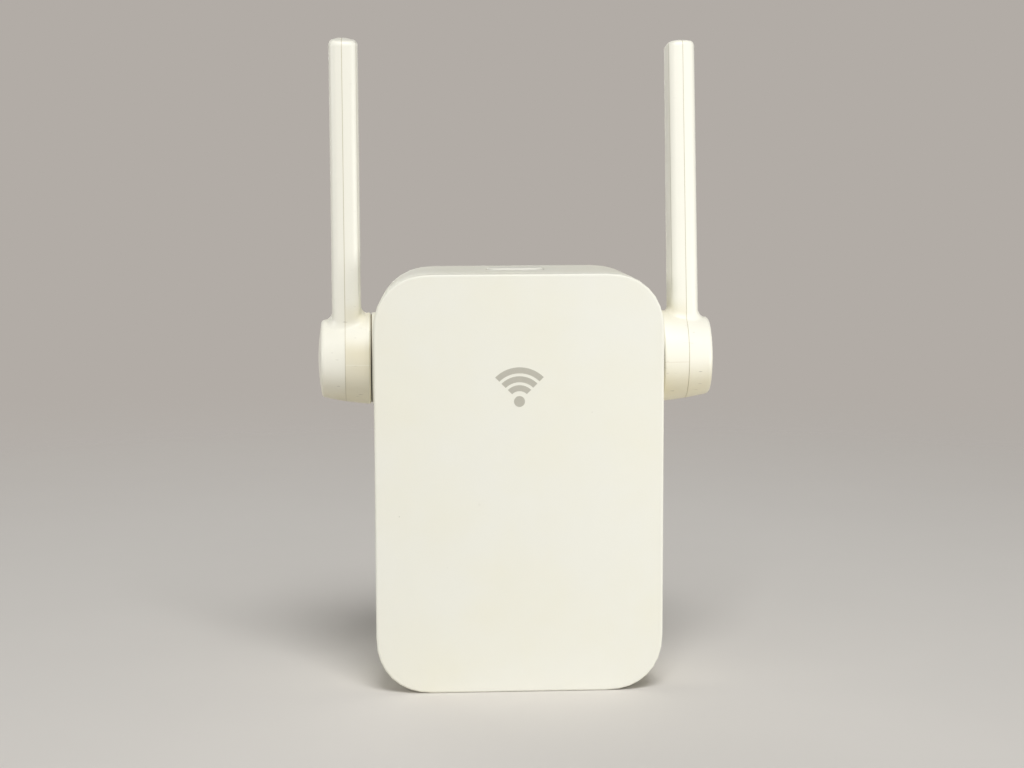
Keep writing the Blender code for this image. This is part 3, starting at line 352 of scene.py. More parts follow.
def slide_lines(tree, height, hub, base, side_x):
    """Draws the lines of the tool's slides over a colour, one round the hub and one up the blade's edge."""
    line_half = 0.12 * MM
    line_core = 0.4 * line_half
    slide_drop = 0.35 * MM
    edge_inset = 0.42 * MM
    # The line round the hub is drawn paler than the shell on the left aerial and darker on the right one.
    round_tone = linear("#F7F4E6" if side_x < 0 else "#D2C6AE")
    off = off_level(tree, height, HUB_AXIS.z - slide_drop)
    line = add(tree, "ShaderNodeMapRange", {
        "Value": off, "From Min": line_core, "From Max": line_half, "To Min": 0.4, "To Max": 0.0})
    base = add(tree, "ShaderNodeMix", {
        FACTOR: line, FIRST: base, SECOND: opaque(round_tone)}, give=MIXED, data_type="RGBA")
    off = off_level(tree, height.node.outputs["X"], side_x + math.copysign(edge_inset, side_x))
    line = add(tree, "ShaderNodeMapRange", {
        "Value": off, "From Min": line_core, "From Max": line_half, "To Min": 0.55, "To Max": 0.0})
    above = add(tree, "ShaderNodeMath", {0: line, 1: hub}, operation="SUBTRACT", use_clamp=True)
    return add(tree, "ShaderNodeMix", {
        FACTOR: above, FIRST: base, SECOND: opaque(linear("#A79F8B"))}, give=MIXED, data_type="RGBA")


def aged_smooth_abs(look, name, start, full, share, side_x):
    """Cream ABS moulded in a stoned tool, handled and yellowed round the hinge.

    The eye gets a softer gloss than the case, with wide highlights along the blade, a warmer tone low on
    the hub, small grey scuffs there, and on an inner half painted shade at the blade's root, drawn in the
    yellowed colour, and the thin lines that the tool's slides leave. Yellowing starts at one height over the
    hinge axis and reaches its full share at another; on the left inner half it is partly painted shade.
    side_x is the inner side of the blade, or None on an outer half.
    """
    ripple_size = 2.5 * MM
    cloud_size = 9.0 * MM
    scuff_length = 2.4 * MM
    scuff_width = 0.5 * MM
    scuff_tilt = math.radians(12)
    made, tree, shader, place = start_material(name, {"IOR": 1.54})
    height = add(tree, "ShaderNodeSeparateXYZ", {"Vector": place}, give="Z")
    hub = add(tree, "ShaderNodeMapRange", {
        "Value": height, "From Min": HUB_AXIS.z + HUB_WEAR_FULL, "From Max": HUB_AXIS.z + HUB_WEAR_END,
        "To Min": 1.0, "To Max": 0.1}, interpolation_type="SMOOTHSTEP")
    # Yellowing low on the hub; on the left inner half it is partly painted shade on the side that faces the
    # case
    yellowing_and_shade = add(tree, "ShaderNodeMapRange", {
        "Value": height, "From Min": HUB_AXIS.z + full, "From Max": HUB_AXIS.z + start,
        "To Min": share, "To Max": 0.05}, interpolation_type="SMOOTHSTEP")
    cloud = add(tree, "ShaderNodeTexNoise", {
        "Vector": place, "Scale": per_metre(cloud_size), "Detail": 2.0})
    patchy = add(tree, "ShaderNodeMapRange", {
        "Value": cloud, "From Min": 0.3, "From Max": 0.7, "To Min": 0.8, "To Max": 1.15})
    low = add(tree, "ShaderNodeMath", {0: hub, 1: yellowing_and_shade}, operation="MULTIPLY")
    warm = add(tree, "ShaderNodeMath", {0: low, 1: patchy}, operation="MULTIPLY", use_clamp=True)
    if side_x is not None:
        # Painted shade at the blade's root, where it meets the hub, drawn in the yellowed colour
        off = off_level(tree, height, HUB_AXIS.z + ROOT_RISE)
        root_shade = add(tree, "ShaderNodeMapRange", {
            "Value": off, "From Max": ROOT_REACH, "To Min": ROOT_SHADE_SHARE, "To Max": 0.0},
            interpolation_type="SMOOTHSTEP")
        warm = add(tree, "ShaderNodeMath", {0: warm, 1: root_shade}, operation="MAXIMUM")
    skin = add(tree, "ShaderNodeMix", {
        FACTOR: warm, FIRST: opaque(look.colour), SECOND: opaque(look.aged)},
        give=MIXED, data_type="RGBA")
    stretched = add(tree, "ShaderNodeMapping", {
        "Vector": place, "Rotation": (0.0, scuff_tilt, 0.0),
        "Scale": (per_metre(scuff_length), per_metre(scuff_length), per_metre(scuff_width))})
    rubbed = add(tree, "ShaderNodeTexNoise", {"Vector": stretched, "Scale": 1.0, "Detail": 1.0})
    scratch = add(tree, "ShaderNodeMapRange", {
        "Value": rubbed, "From Min": 0.71, "From Max": 0.79, "To Max": 0.5})
    worn = add(tree, "ShaderNodeMath", {0: scratch, 1: hub}, operation="MULTIPLY")
    base = add(tree, "ShaderNodeMix", {
        FACTOR: worn, FIRST: skin, SECOND: opaque(look.scuff)}, give=MIXED, data_type="RGBA")
    if side_x is not None:
        base = slide_lines(tree, height, hub, base, side_x)
    tree.links.new(base, shader.inputs["Base Color"])
    rough = add(tree, "ShaderNodeMapRange", {
        "Value": cloud, "From Min": 0.3, "From Max": 0.7, "To Min": 0.38, "To Max": 0.46})
    tree.links.new(rough, shader.inputs["Roughness"])
    ripple = add(tree, "ShaderNodeTexNoise", {
        "Vector": place, "Scale": per_metre(ripple_size), "Detail": 2.0})
    bump = add(tree, "ShaderNodeBump", {"Height": ripple, "Strength": 0.1, "Distance": 0.06 * MM})
    tree.links.new(bump, shader.inputs["Normal"])
    return made


def grained_moulding(name, dark, light, grain, roughness, depth):
    """A filled plastic straight from the tool.

    The eye gets an even colour with a fine mottle of the filler, a soft broad highlight
    and a slightly uneven skin.
    """
    made, tree, shader, place = start_material(name, {"IOR": 1.53})
    mottle = add(tree, "ShaderNodeTexNoise", {
        "Vector": place, "Scale": per_metre(grain), "Detail": 3.0, "Roughness": 0.6})
    base = add(tree, "ShaderNodeMix", {
        FACTOR: mottle, FIRST: opaque(dark), SECOND: opaque(light)}, give=MIXED, data_type="RGBA")
    tree.links.new(base, shader.inputs["Base Color"])
    rough = add(tree, "ShaderNodeMapRange", {
        "Value": mottle, "From Min": 0.3, "From Max": 0.7,
        "To Min": roughness - 0.05, "To Max": roughness + 0.05})
    tree.links.new(rough, shader.inputs["Roughness"])
    bump = add(tree, "ShaderNodeBump", {"Height": mottle, "Strength": 0.2, "Distance": depth})
    tree.links.new(bump, shader.inputs["Normal"])
    return made


def pressed_felt():
    """Black wool felt pressed into a washer.

    The eye gets a dull fibrous black with no highlight, and painted light from above: browner and
    paler towards the top.
    """
    fibre_size = 0.3 * MM
    top_light_low = -3.0 * MM
    top_light_high = 9.0 * MM
    made, tree, shader, place = start_material("black_felt_with_painted_top_light", {
        "Roughness": 0.95, "Specular IOR Level": 0.15})
    fibres = add(tree, "ShaderNodeTexNoise", {
        "Vector": place, "Scale": per_metre(fibre_size), "Detail": 3.0, "Roughness": 0.6})
    wool = add(tree, "ShaderNodeMix", {
        FACTOR: fibres, FIRST: opaque(linear("#171210")), SECOND: opaque(linear("#2E261F"))},
        give=MIXED, data_type="RGBA")
    # Painted light: the felt turns paler and browner towards the top, as if lit from above
    height = add(tree, "ShaderNodeSeparateXYZ", {"Vector": place}, give="Z")
    painted_top_light = add(tree, "ShaderNodeMapRange", {
        "Value": height, "From Min": HUB_AXIS.z + top_light_low, "From Max": HUB_AXIS.z + top_light_high,
        "To Max": 0.85})
    base = add(tree, "ShaderNodeMix", {
        FACTOR: painted_top_light, FIRST: wool, SECOND: opaque(linear("#8E8069"))}, give=MIXED, data_type="RGBA")
    tree.links.new(base, shader.inputs["Base Color"])
    bump = add(tree, "ShaderNodeBump", {"Height": fibres, "Strength": 0.4, "Distance": 0.08 * MM})
    tree.links.new(bump, shader.inputs["Normal"])
    return made


def drawn_metal(name, dark, light, across, along, axis, roughness):
    """A metal drawn, rolled or stamped along one axis.

    The eye gets a bright, streaked reflection, with fine lines along the way it was worked
    and small changes of tone where the plating is thinner.
    """
    made, tree, shader, place = start_material(name, {"Metallic": 1.0})
    scale = [per_metre(across)] * 3
    scale[axis] = per_metre(along)
    stretched = add(tree, "ShaderNodeMapping", {"Vector": place, "Scale": scale})
    streak = add(tree, "ShaderNodeTexNoise", {"Vector": stretched, "Scale": 1.0, "Detail": 2.0})
    base = add(tree, "ShaderNodeMix", {
        FACTOR: streak, FIRST: opaque(dark), SECOND: opaque(light)}, give=MIXED, data_type="RGBA")
    tree.links.new(base, shader.inputs["Base Color"])
    rough = add(tree, "ShaderNodeMapRange", {
        "Value": streak, "From Min": 0.3, "From Max": 0.7,
        "To Min": roughness - 0.06, "To Max": roughness + 0.08})
    tree.links.new(rough, shader.inputs["Roughness"])
    bump = add(tree, "ShaderNodeBump", {"Height": streak, "Strength": 0.15, "Distance": 0.01 * MM})
    tree.links.new(bump, shader.inputs["Normal"])
    return made


def masked_laminate():
    """Glass-epoxy laminate under green solder mask.

    The eye gets a deep green gloss with paler raised lines where copper runs under the mask,
    and the faint check of the glass cloth below it.
    """
    track_pitch = 1.27 * MM
    cloth_pitch = 0.5 * MM
    region = 7.0 * MM
    made, tree, shader, place = start_material("green_masked_glass_laminate", {
        "IOR": 1.55, "Roughness": 0.3})
    tracks = add(tree, "ShaderNodeTexWave", {
        "Vector": place, "Scale": per_metre(track_pitch) * WAVE_SCALE, "Distortion": 0.6,
        "Detail": 0.0}, give="Fac", bands_direction="Z")
    crossing = add(tree, "ShaderNodeTexWave", {
        "Vector": place, "Scale": per_metre(track_pitch) * WAVE_SCALE, "Distortion": 0.6,
        "Detail": 0.0}, give="Fac", bands_direction="X")
    area = add(tree, "ShaderNodeTexVoronoi", {
        "Vector": place, "Scale": per_metre(region)}, give="Color", distance="CHEBYCHEV")
    which = add(tree, "ShaderNodeSeparateColor", {"Color": area}, give="Red")
    turn = add(tree, "ShaderNodeMath", {0: which, 1: 0.5}, operation="GREATER_THAN")
    run = add(tree, "ShaderNodeMix", {FACTOR: turn, 2: tracks, 3: crossing})
    copper = add(tree, "ShaderNodeMapRange", {"Value": run, "From Min": 0.6, "From Max": 0.75})
    cloth = add(tree, "ShaderNodeTexChecker", {
        "Vector": place, "Color1": opaque(linear("#0E4A2A")), "Color2": opaque(linear("#10502E")),
        "Scale": per_metre(cloth_pitch)}, give="Color")
    base = add(tree, "ShaderNodeMix", {
        FACTOR: copper, FIRST: cloth, SECOND: opaque(linear("#2C7B47"))}, give=MIXED, data_type="RGBA")
    tree.links.new(base, shader.inputs["Base Color"])
    bump = add(tree, "ShaderNodeBump", {"Height": copper, "Strength": 0.3, "Distance": 0.035 * MM})
    tree.links.new(bump, shader.inputs["Normal"])
    return made


def clear_moulding(name, tint):
    """Clear acrylic or epoxy from a polished tool.

    The eye gets a glassy edge with the pieces behind it bent, and faint flow lines.
    """
    flow_size = 3.0 * MM
    made, tree, shader, place = start_material(name, {
        "IOR": 1.49, "Roughness": 0.08, "Transmission Weight": 0.9, "Base Color": opaque(tint)})
    flow = add(tree, "ShaderNodeTexNoise", {"Vector": place, "Scale": per_metre(flow_size), "Detail": 1.0})
    bump = add(tree, "ShaderNodeBump", {"Height": flow, "Strength": 0.08, "Distance": 0.05 * MM})
    tree.links.new(bump, shader.inputs["Normal"])
    return made


def pad_print(look):
    """Pad-printed ink on the case texture.

    The eye gets a flat warm grey with the tool grain still showing through the thin film.
    """
    mottle_size = 1.2 * MM
    made, tree, shader, place = start_material("warm_grey_pad_print", {"IOR": 1.5, "Roughness": 0.5})
    mottle = add(tree, "ShaderNodeTexNoise", {
        "Vector": place, "Scale": per_metre(mottle_size), "Detail": 2.0})
    deep = deeper(look.colour, 0.93)
    base = add(tree, "ShaderNodeMix", {
        FACTOR: mottle, FIRST: opaque(look.colour), SECOND: opaque(deep)}, give=MIXED, data_type="RGBA")
    tree.links.new(base, shader.inputs["Base Color"])
    bump = add(tree, "ShaderNodeBump", {"Height": mottle, "Strength": 0.1, "Distance": 0.03 * MM})
    tree.links.new(bump, shader.inputs["Normal"])
    return made


def put(name, bm, look, body):
    """Turns a mesh into a named piece that rides on a body and takes its finish from a slot."""
    bmesh.ops.recalc_face_normals(bm, faces=bm.faces)
    mesh = bpy.data.meshes.new(name)
    bm.to_mesh(mesh)
    bm.free()
    if "custom_normal" in mesh.attributes:
        mesh.attributes.remove(mesh.attributes["custom_normal"])
    mesh.materials.clear()
    mesh.materials.append(look)
    mesh.shade_smooth()
    mesh.set_sharp_from_angle(angle=SHARP_ANGLE)
    piece = bpy.data.objects.new(name, mesh)
    bpy.context.scene.collection.objects.link(piece)
    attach(piece, body)
    return piece


def welded(node):
    """A copy of a CAD node's mesh with its triangles joined up again."""
    bm = bmesh.new()
    bm.from_mesh(frame["nodes"][node].data)
    bmesh.ops.remove_doubles(bm, verts=bm.verts, dist=WELD_DISTANCE)
    return bm


def dress(node, name, look):
    """A smooth-shaded piece in the place of a CAD node, with its flat faces whole."""
    bm = welded(node)
    bmesh.ops.dissolve_limit(bm, angle_limit=FLAT_ANGLE, verts=bm.verts, edges=bm.edges)
    piece = put(name, bm, look, frame["nodes"][node]["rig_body"])
    keep = piece.modifiers.new("Even normals", "WEIGHTED_NORMAL")
    keep.keep_sharp = True
    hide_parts(node)
    return piece


def paint(look, *nodes):
    """Gives CAD nodes, whose shapes stay, a finish."""
    for name in nodes:
        node = frame["nodes"][name]
        for entry in node.material_slots:
            entry.material = look


def rim_outline(node, axis, level):
    """The outer outline of a shell's rim on a plane across an axis, as points in order."""
    bm = welded(node)
    faces = [f for f in bm.faces if all(abs(v.co[axis] - level) < PLANE_SLACK for v in f.verts)]
    inside = set(faces)
    edges = {e for f in faces for e in f.edges if sum(g in inside for g in e.link_faces) == 1}
    loops = []
    while edges:
        edge = edges.pop()
        start, here = edge.verts
        loop = [start.co.copy(), here.co.copy()]
        while here != start:
            onward = next((e for e in here.link_edges if e in edges), None)
            if onward is None:
                raise RuntimeError(f"{node} has an open rim")
            edges.remove(onward)
            here = onward.other_vert(here)
            loop.append(here.co.copy())
        loops.append(loop[:-1])
    bm.free()
    if not loops:
        raise RuntimeError(f"{node} has no rim on the parting plane")
    return max(loops, key=lambda loop: max(p.z for p in loop) - min(p.z for p in loop))


def ring_skin(loops):
    """A closed ring skinned over loops of points, the last joined to the first."""
    bm = bmesh.new()
    rows = [[bm.verts.new(point) for point in loop] for loop in loops]
    count = len(rows[0])
    for row, after in zip(rows, rows[1:] + rows[:1]):
        for i in range(count):
            j = (i + 1) % count
            bm.faces.new((row[i], row[j], after[j], after[i]))
    return bm


def drawn_in(loop, axis, inset):
    """A loop on a plane across an axis, moved inwards by a distance."""
    across = Vector((0.0, 0.0, 0.0))
    across[axis] = 1.0
    count = len(loop)
    area = sum(loop[i].cross(loop[(i + 1) % count])[axis] for i in range(count))
    turn = inset if area > 0 else -inset
    moved = []
    for i, point in enumerate(loop):
        step = loop[(i + 1) % count] - loop[i - 1]
        moved.append(point + turn * across.cross(step).normalized())
    return moved


class EXTENDER_OT_dress_case(bpy.types.Operator):
    """Dress the front cover, the rear housing, the groove between them and the top button"""

    bl_idname = "extender.dress_case"
    bl_label = "Dress the case"

    def execute(self, context):
        look = context.scene.extender_case
        cream = spark_textured_abs(look)
        dress("front_cover", "cover_moulding", cream)
        dress("rear_housing", "housing_moulding", cream)
        white = grained_moulding(
            "smooth_white_abs", look.button, deeper(look.button, 0.95), 1.5 * MM, 0.35, 0.02 * MM)
        dress("pairing_button", "button_cap", white)
        # Dirt and painted shadow for the dark line in the groove between cover and housing
        groove_finish = grained_moulding(
            "case_seam_dirt_and_shadow", linear("#6B6557"), linear("#5A5548"), 1.0 * MM, 0.8, 0.01 * MM)
        self.fill_seam(groove_finish)
        return {"FINISHED"}

    def fill_seam(self, look):
        """The dark line at the bottom of the groove between cover and housing: dirt and painted shadow of the
        groove.
        """
        bottom = rim_outline("front_cover", 1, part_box("front_cover")[1].y)
        wide = drawn_in(bottom, 1, -CASE_SEAM_FILL)
        step = Vector((0.0, CASE_SEAM_FILL, 0.0))
        loops = [bottom, [p - step for p in wide], [p + step for p in wide]]
        put("case_seam_line", ring_skin(loops), look, "base")


class EXTENDER_OT_dress_aerials(bpy.types.Operator):
    """Dress the half shells of both aerials and fill the groove between them"""

    bl_idname = "extender.dress_aerials"
    bl_label = "Dress the aerials"

    def execute(self, context):
        look = context.scene.extender_aerial
        groove_finish = grained_moulding(
            "grimy_abs_groove", linear("#D3CCB6"), linear("#C4BCA4"), 1.0 * MM, 0.6, 0.01 * MM)
        felt = pressed_felt()
        for side, sign in (("left", -1), ("right", 1)):
            for half in ("outer", "inner"):
                node = f"{side}_aerial_{half}_shell"
                side_x = self.blade_side(node, sign) if half == "inner" else None
                finish = aged_smooth_abs(
                    look, f"{side}_{half}_aged_smooth_abs", *YELLOWING_AND_SHADE[f"{side}_{half}"], side_x)
                dress(node, f"{side}_{half}_half", finish)
            self.fill_parting(side, sign, groove_finish)
            self.seat_felt(side, sign, felt)
        return {"FINISHED"}

    def blade_side(self, node, sign):
        """The inner side of the blade, read off its points well above the hub."""
        points = [v.co for v in frame["nodes"][node].data.vertices]
        blade = [p.x for p in points if p.z > HUB_AXIS.z + BLADE_CLEAR]
        if not blade:
            raise RuntimeError(f"{node} has no blade")
        return sign * min(abs(x) for x in blade)

    def fill_parting(self, side, sign, look):
        """The tongue of the inner half that shows at the bottom of the groove between the halves."""
        low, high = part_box(f"{side}_aerial_outer_shell")
        outline = rim_outline(f"{side}_aerial_outer_shell", 0, high.x if sign < 0 else low.x)
        skin = drawn_in(outline, 0, SEAM_DEPTH[side])
        core = drawn_in(outline, 0, SEAM_DEPTH[side] + SEAM_LAND)
        step = Vector((-sign * SEAM_GAP, 0.0, 0.0))
        loops = [skin, [p + step for p in skin], [p + step for p in core], core]
        put(f"{side}_parting_seam", ring_skin(loops), look, f"{side}_aerial")

    def seat_felt(self, side, sign, look):
        """The thin felt washer that shows as a dark line between hub and boss; its black stands in for the
        shade inside the gap.
        """
        boss = abs(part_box("rear_housing")[1].x)
        axis = Vector((sign * boss, HUB_AXIS.y, HUB_AXIS.z))
        loops = []
        for along, radius in ((FELT_PLAY, FELT_RADIUS), (HUB_GAP - FELT_PLAY, FELT_RADIUS),
                              (HUB_GAP - FELT_PLAY, FELT_BORE), (FELT_PLAY, FELT_BORE)):
            angles = [math.tau * k / FELT_STEPS for k in range(FELT_STEPS)]
            loops.append([axis + Vector((sign * along, radius * math.cos(a), radius * math.sin(a)))
                          for a in angles])
        put(f"{side}_hub_felt", ring_skin(loops), look, "base")


class EXTENDER_OT_dress_plug(bpy.types.Operator):
    """Dress the plug plate, its pins and their sleeves"""

    bl_idname = "extender.dress_plug"
    bl_label = "Dress the plug"

    def execute(self, context):
        look = context.scene.extender_case
        plate = grained_moulding(
            "white_polycarbonate_plate", look.plate, deeper(look.plate, 0.93), 0.6 * MM, 0.45, 0.03 * MM)
        dress("plug_plate", "plug_plate_moulding", plate)
        # The real drawing lines are some hundredths of a millimetre apart. They are drawn wider, to show.
        brass = drawn_metal(
            "nickelled_drawn_brass", linear("#C4BCA9"), linear("#DCD6C8"), 0.22 * MM, 9.0 * MM, 1, 0.26)
        nylon = grained_moulding(
            "black_nylon_sleeve", linear("#1A1A1B"), linear("#242424"), 0.5 * MM, 0.42, 0.02 * MM)
        dress("earth_pin", "earth_blade", plate)
        for pin in ("live", "neutral"):
            dress(f"{pin}_pin", f"{pin}_blade", brass)
            dress(f"{pin}_sleeve", f"{pin}_blade_sleeve", nylon)
        return {"FINISHED"}


class EXTENDER_OT_dress_port(bpy.types.Operator):
    """Dress the ethernet socket and its contacts"""

    bl_idname = "extender.dress_port"
    bl_label = "Dress the ethernet port"

    def execute(self, context):
        black = grained_moulding(
            "black_polyester_socket", linear("#161617"), linear("#202022"), 0.4 * MM, 0.38, 0.02 * MM)
        gold = drawn_metal(
            "gold_plated_bronze", linear("#D9A93F"), linear("#EBC468"), 0.15 * MM, 3.0 * MM, 2, 0.22)
        dress("ethernet_socket", "port_body", black)
        dress("socket_contacts", "port_contacts", gold)
        return {"FINISHED"}


class EXTENDER_OT_dress_inside(bpy.types.Operator):
    """Give the boards and everything on them their finishes"""

    bl_idname = "extender.dress_inside"
    bl_label = "Dress the inside"

    def execute(self, context):
        nodes = set(frame["nodes"])
        paint(masked_laminate(), "main_board", "power_board")
        steel = drawn_metal(
            "tinned_sheet_steel", linear("#B4B6B8"), linear("#D2D4D6"), 0.2 * MM, 6.0 * MM, 0, 0.3)
        paint(steel, "processor_shield", *sorted(n for n in nodes if "clip" in n or "screw" in n))
        alloy = drawn_metal(
            "anodised_extruded_aluminium", linear("#A9ACB2"), linear("#C6C9CE"), 0.15 * MM, 8.0 * MM, 2, 0.38)
        paint(alloy, "heat_sink", *sorted(n for n in nodes if "capacitor" in n))
        copper = drawn_metal(
            "rolled_copper_strip", linear("#B4643C"), linear("#D08A5E"), 0.2 * MM, 10.0 * MM, 2, 0.3)
        paint(copper, *sorted(n for n in nodes if "radiator" in n))
        epoxy = grained_moulding(
            "black_moulding_epoxy", linear("#17171A"), linear("#232326"), 0.3 * MM, 0.5, 0.02 * MM)
        paint(epoxy, "ethernet_magnetics", "rectifier", "pairing_switch", "reset_switch", "board_header")
        acetal = grained_moulding(
            "natural_acetal", linear("#E6E4DC"), linear("#F2F1EB"), 0.8 * MM, 0.32, 0.01 * MM)
        paint(acetal, "pairing_plunger", "reset_plunger", *sorted(n for n in nodes if "washer" in n))
        ceramic = grained_moulding(
            "fuse_ceramic", linear("#D8CFBE"), linear("#E8E1D3"), 0.5 * MM, 0.4, 0.02 * MM)
        paint(ceramic, "fuse")
        tape = grained_moulding(
            "yellow_polyester_tape", linear("#D9A514"), linear("#E9BC34"), 2.0 * MM, 0.28, 0.03 * MM)
        paint(tape, "transformer")
        jacket = grained_moulding(
            "grey_cable_jacket", linear("#4A4A4C"), linear("#58585A"), 0.8 * MM, 0.45, 0.02 * MM)
        paint(jacket, *sorted(n for n in nodes if n.endswith("lead")))
        acrylic = clear_moulding("clear_moulded_acrylic", linear("#F4F8FA"))
        paint(acrylic, "light_guide")
        lens = clear_moulding("clear_cast_epoxy", linear("#E8F2E4"))
        paint(lens, *sorted(n for n in nodes if "indicator" in n))
        return {"FINISHED"}


class EXTENDER_OT_print_mark(bpy.types.Operator):
    """Print a generic signal mark on the cover"""

    bl_idname = "extender.print_mark"
    bl_label = "Print the mark"

    def execute(self, context):
        look = context.scene.extender_mark
        reach = look.width / 2 / math.sin(ARC_HALF_ANGLE)
        pitch = (reach - look.stroke / 2) / (ARC_COUNT + ARC_STAND_OFF)
        base_z = look.height - reach / 2
        front, back = FRONT_Y - look.film, FRONT_Y + MARK_SINK
        bm = bmesh.new()
        for index in range(1, ARC_COUNT + 1):
            middle = (index + ARC_STAND_OFF) * pitch
            sections = []
            for step in range(ARC_STEPS + 1):
                angle = ARC_HALF_ANGLE * (2 * step / ARC_STEPS - 1)
                corners = ((middle - look.stroke / 2, front), (middle + look.stroke / 2, front),
                           (middle + look.stroke / 2, back), (middle - look.stroke / 2, back))
                sections.append([bm.verts.new((r * math.sin(angle), y, base_z + r * math.cos(angle)))
                                 for r, y in corners])
            for here, after in zip(sections, sections[1:]):
                for i in range(4):
                    j = (i + 1) % 4
                    bm.faces.new((here[i], here[j], after[j], after[i]))
            bm.faces.new(sections[0])
            bm.faces.new(sections[-1])
        radius = DOT_STROKE_SHARE * look.stroke + DOT_PITCH_SHARE * pitch
        angles = [math.tau * k / DOT_STEPS for k in range(DOT_STEPS)]
        rings = [[bm.verts.new((radius * math.sin(a), y, base_z + radius * math.cos(a))) for a in angles]
                 for y in (front, back)]
        bm.faces.new(rings[0])
        bm.faces.new(rings[1])
        for i in range(DOT_STEPS):
            j = (i + 1) % DOT_STEPS
            bm.faces.new((rings[0][i], rings[0][j], rings[1][j], rings[1][i]))
        put("front_signal_mark", bm, pad_print(look), "base")
        return {"FINISHED"}


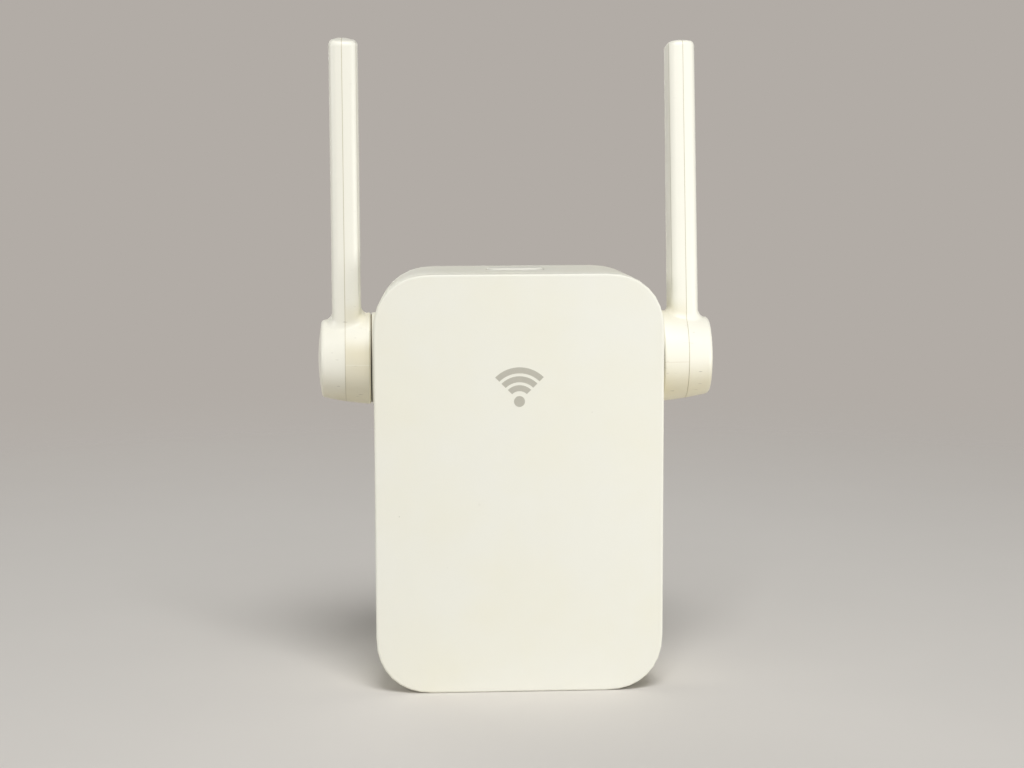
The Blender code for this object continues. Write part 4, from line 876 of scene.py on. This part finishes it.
class EXTENDER_OT_set_stage(bpy.types.Operator):
    """Set the floor, the light, the background and the camera"""

    bl_idname = "extender.set_stage"
    bl_label = "Set the stage"

    def execute(self, context):
        scene = context.scene
        look = scene.extender_stage
        scene.view_settings.view_transform = "Standard"
        floor = self.lay_floor(scene, look)
        self.light(scene, look, floor)
        camera = bpy.data.cameras.new("photo_camera")
        camera.sensor_width = CAMERA_SENSOR
        camera.lens = CAMERA_LENS
        camera.clip_start = CLIP_START
        camera.clip_end = CLIP_END
        holder = bpy.data.objects.new("photo_camera", camera)
        holder.location = CAMERA_PLACE
        holder.rotation_euler = [math.radians(a) for a in CAMERA_TURN]
        scene.collection.objects.link(holder)
        scene.camera = holder
        return {"FINISHED"}

    def lay_floor(self, scene, look):
        """A round matt floor that fades into the background far away."""
        mottle_size = 40.0 * MM
        bm = bmesh.new()
        bmesh.ops.create_circle(bm, cap_ends=True, radius=FLOOR_RADIUS, segments=FLOOR_STEPS)
        mesh = bpy.data.meshes.new("pale_floor")
        bm.to_mesh(mesh)
        bm.free()
        floor = bpy.data.objects.new("pale_floor", mesh)
        floor.location.z = FLOOR_Z
        scene.collection.objects.link(floor)
        # Painted matt board: an even pale tone that keeps a soft shadow and gives no reflection.
        made, tree, shader, place = start_material("pale_matt_board", {
            "Roughness": 0.9, "Specular IOR Level": 0.1})
        mottle = add(tree, "ShaderNodeTexNoise", {
            "Vector": place, "Scale": per_metre(mottle_size), "Detail": 3.0})
        deep = deeper(look.floor, 0.97)
        base = add(tree, "ShaderNodeMix", {
            FACTOR: mottle, FIRST: opaque(look.floor), SECOND: opaque(deep)}, give=MIXED, data_type="RGBA")
        tree.links.new(base, shader.inputs["Base Color"])
        far = add(tree, "ShaderNodeVectorMath", {0: place}, give="Value", operation="LENGTH")
        gone = add(tree, "ShaderNodeMapRange", {
            "Value": far, "From Min": FLOOR_FADE_START, "From Max": FLOOR_FADE_END},
            interpolation_type="SMOOTHERSTEP")
        clear = add(tree, "ShaderNodeBsdfTransparent")
        faded = add(tree, "ShaderNodeMixShader", {0: gone, 1: shader.outputs["BSDF"], 2: clear})
        tree.links.new(faded, tree.nodes["Material Output"].inputs["Surface"])
        mesh.materials.append(made)
        return floor

    def light(self, scene, look, floor):
        """Even light from all round, four soft lamps, and the background that the camera sees."""
        world = bpy.data.worlds.new("studio")
        scene.world = world
        world.use_nodes = True
        tree = world.node_tree
        path = add(tree, "ShaderNodeLightPath").node.outputs
        near = add(tree, "ShaderNodeMath", {
            0: path["Is Camera Ray"], 1: path["Is Glossy Ray"]}, operation="MAXIMUM")
        seen = add(tree, "ShaderNodeMath", {
            0: near, 1: path["Is Transmission Ray"]}, operation="MAXIMUM")
        facing = add(tree, "ShaderNodeTexCoord", give="Generated")
        depth = add(tree, "ShaderNodeSeparateXYZ", {"Vector": facing}, give="Y")
        strength = add(tree, "ShaderNodeMapRange", {
            "Value": depth, "From Min": FRONT_LIGHT_END, "From Max": REAR_LIGHT_START,
            "To Min": look.ambient, "To Max": look.behind}, interpolation_type="SMOOTHSTEP")
        even = add(tree, "ShaderNodeBackground", {
            "Color": opaque(linear("#FFFFFF")), "Strength": strength})
        drop = add(tree, "ShaderNodeBackground", {"Color": opaque(look.backdrop), "Strength": 1.0})
        both = add(tree, "ShaderNodeMixShader", {0: seen, 1: even, 2: drop})
        tree.links.new(both, tree.nodes["World Output"].inputs["Surface"])
        # The low lamps at the sides would leave bright pools on the floor, so it doesn't take their light.
        unlit = bpy.data.collections.new("unlit_by_side_lamps")
        unlit.objects.link(floor)
        unlit.collection_objects[0].light_linking.link_state = "EXCLUDE"
        powers = {"soft_key": look.key_power, "right_fill": look.right_power,
                  "left_fill": look.left_power, "rear_fill": look.rear_power}
        for name, (azimuth, elevation, distance, width, height) in LAMPS.items():
            lamp = bpy.data.lights.new(name, "AREA")
            lamp.shape = "ELLIPSE"
            lamp.size = width
            lamp.size_y = height
            lamp.energy = powers[name]
            holder = bpy.data.objects.new(name, lamp)
            turn, lift = math.radians(azimuth), math.radians(elevation)
            flat = math.cos(lift)
            way = Vector((flat * math.sin(turn), -flat * math.cos(turn), math.sin(lift)))
            holder.location = STAGE_TARGET + way * distance
            holder.rotation_euler = way.to_track_quat("Z", "Y").to_euler()
            # The rear lamp would mirror in the top wall, so it gives no highlights.
            holder.visible_glossy = name != REAR_LAMP
            scene.collection.objects.link(holder)
            if name in SIDE_LAMPS:
                holder.light_linking.receiver_collection = unlit


STEPS = (
    EXTENDER_OT_dress_case,
    EXTENDER_OT_dress_aerials,
    EXTENDER_OT_dress_plug,
    EXTENDER_OT_dress_port,
    EXTENDER_OT_dress_inside,
    EXTENDER_OT_print_mark,
    EXTENDER_OT_set_stage,
)
SETTINGS = {
    "extender_case": CaseLook,
    "extender_aerial": AerialLook,
    "extender_mark": MarkLook,
    "extender_stage": StageLook,
}


class EXTENDER_PT_looks(bpy.types.Panel):
    """Lists the settings and the steps that use them"""

    bl_idname = "EXTENDER_PT_looks"
    bl_label = "Range extender"
    bl_space_type = "VIEW_3D"
    bl_region_type = "UI"
    bl_category = "Extender"

    def draw(self, context):
        for name, group in SETTINGS.items():
            box = self.layout.box()
            for prop in group.__annotations__:
                box.prop(getattr(context.scene, name), prop)
        for step in STEPS:
            self.layout.operator(step.bl_idname)


CLASSES = (*SETTINGS.values(), *STEPS, EXTENDER_PT_looks)


def register():
    """Adds the classes and the scene's settings."""
    for item in CLASSES:
        bpy.utils.register_class(item)
    for name, group in SETTINGS.items():
        setattr(bpy.types.Scene, name, PointerProperty(type=group))


def unregister():
    """Takes them away again."""
    for name in SETTINGS:
        delattr(bpy.types.Scene, name)
    for item in reversed(CLASSES):
        bpy.utils.unregister_class(item)


def main():
    """Dresses the part step by step."""
    register()
    bpy.ops.extender.dress_case()
    bpy.ops.extender.dress_aerials()
    bpy.ops.extender.dress_plug()
    bpy.ops.extender.dress_port()
    bpy.ops.extender.dress_inside()
    bpy.ops.extender.print_mark()
    bpy.ops.extender.set_stage()


if __name__ == "__main__":
    main()
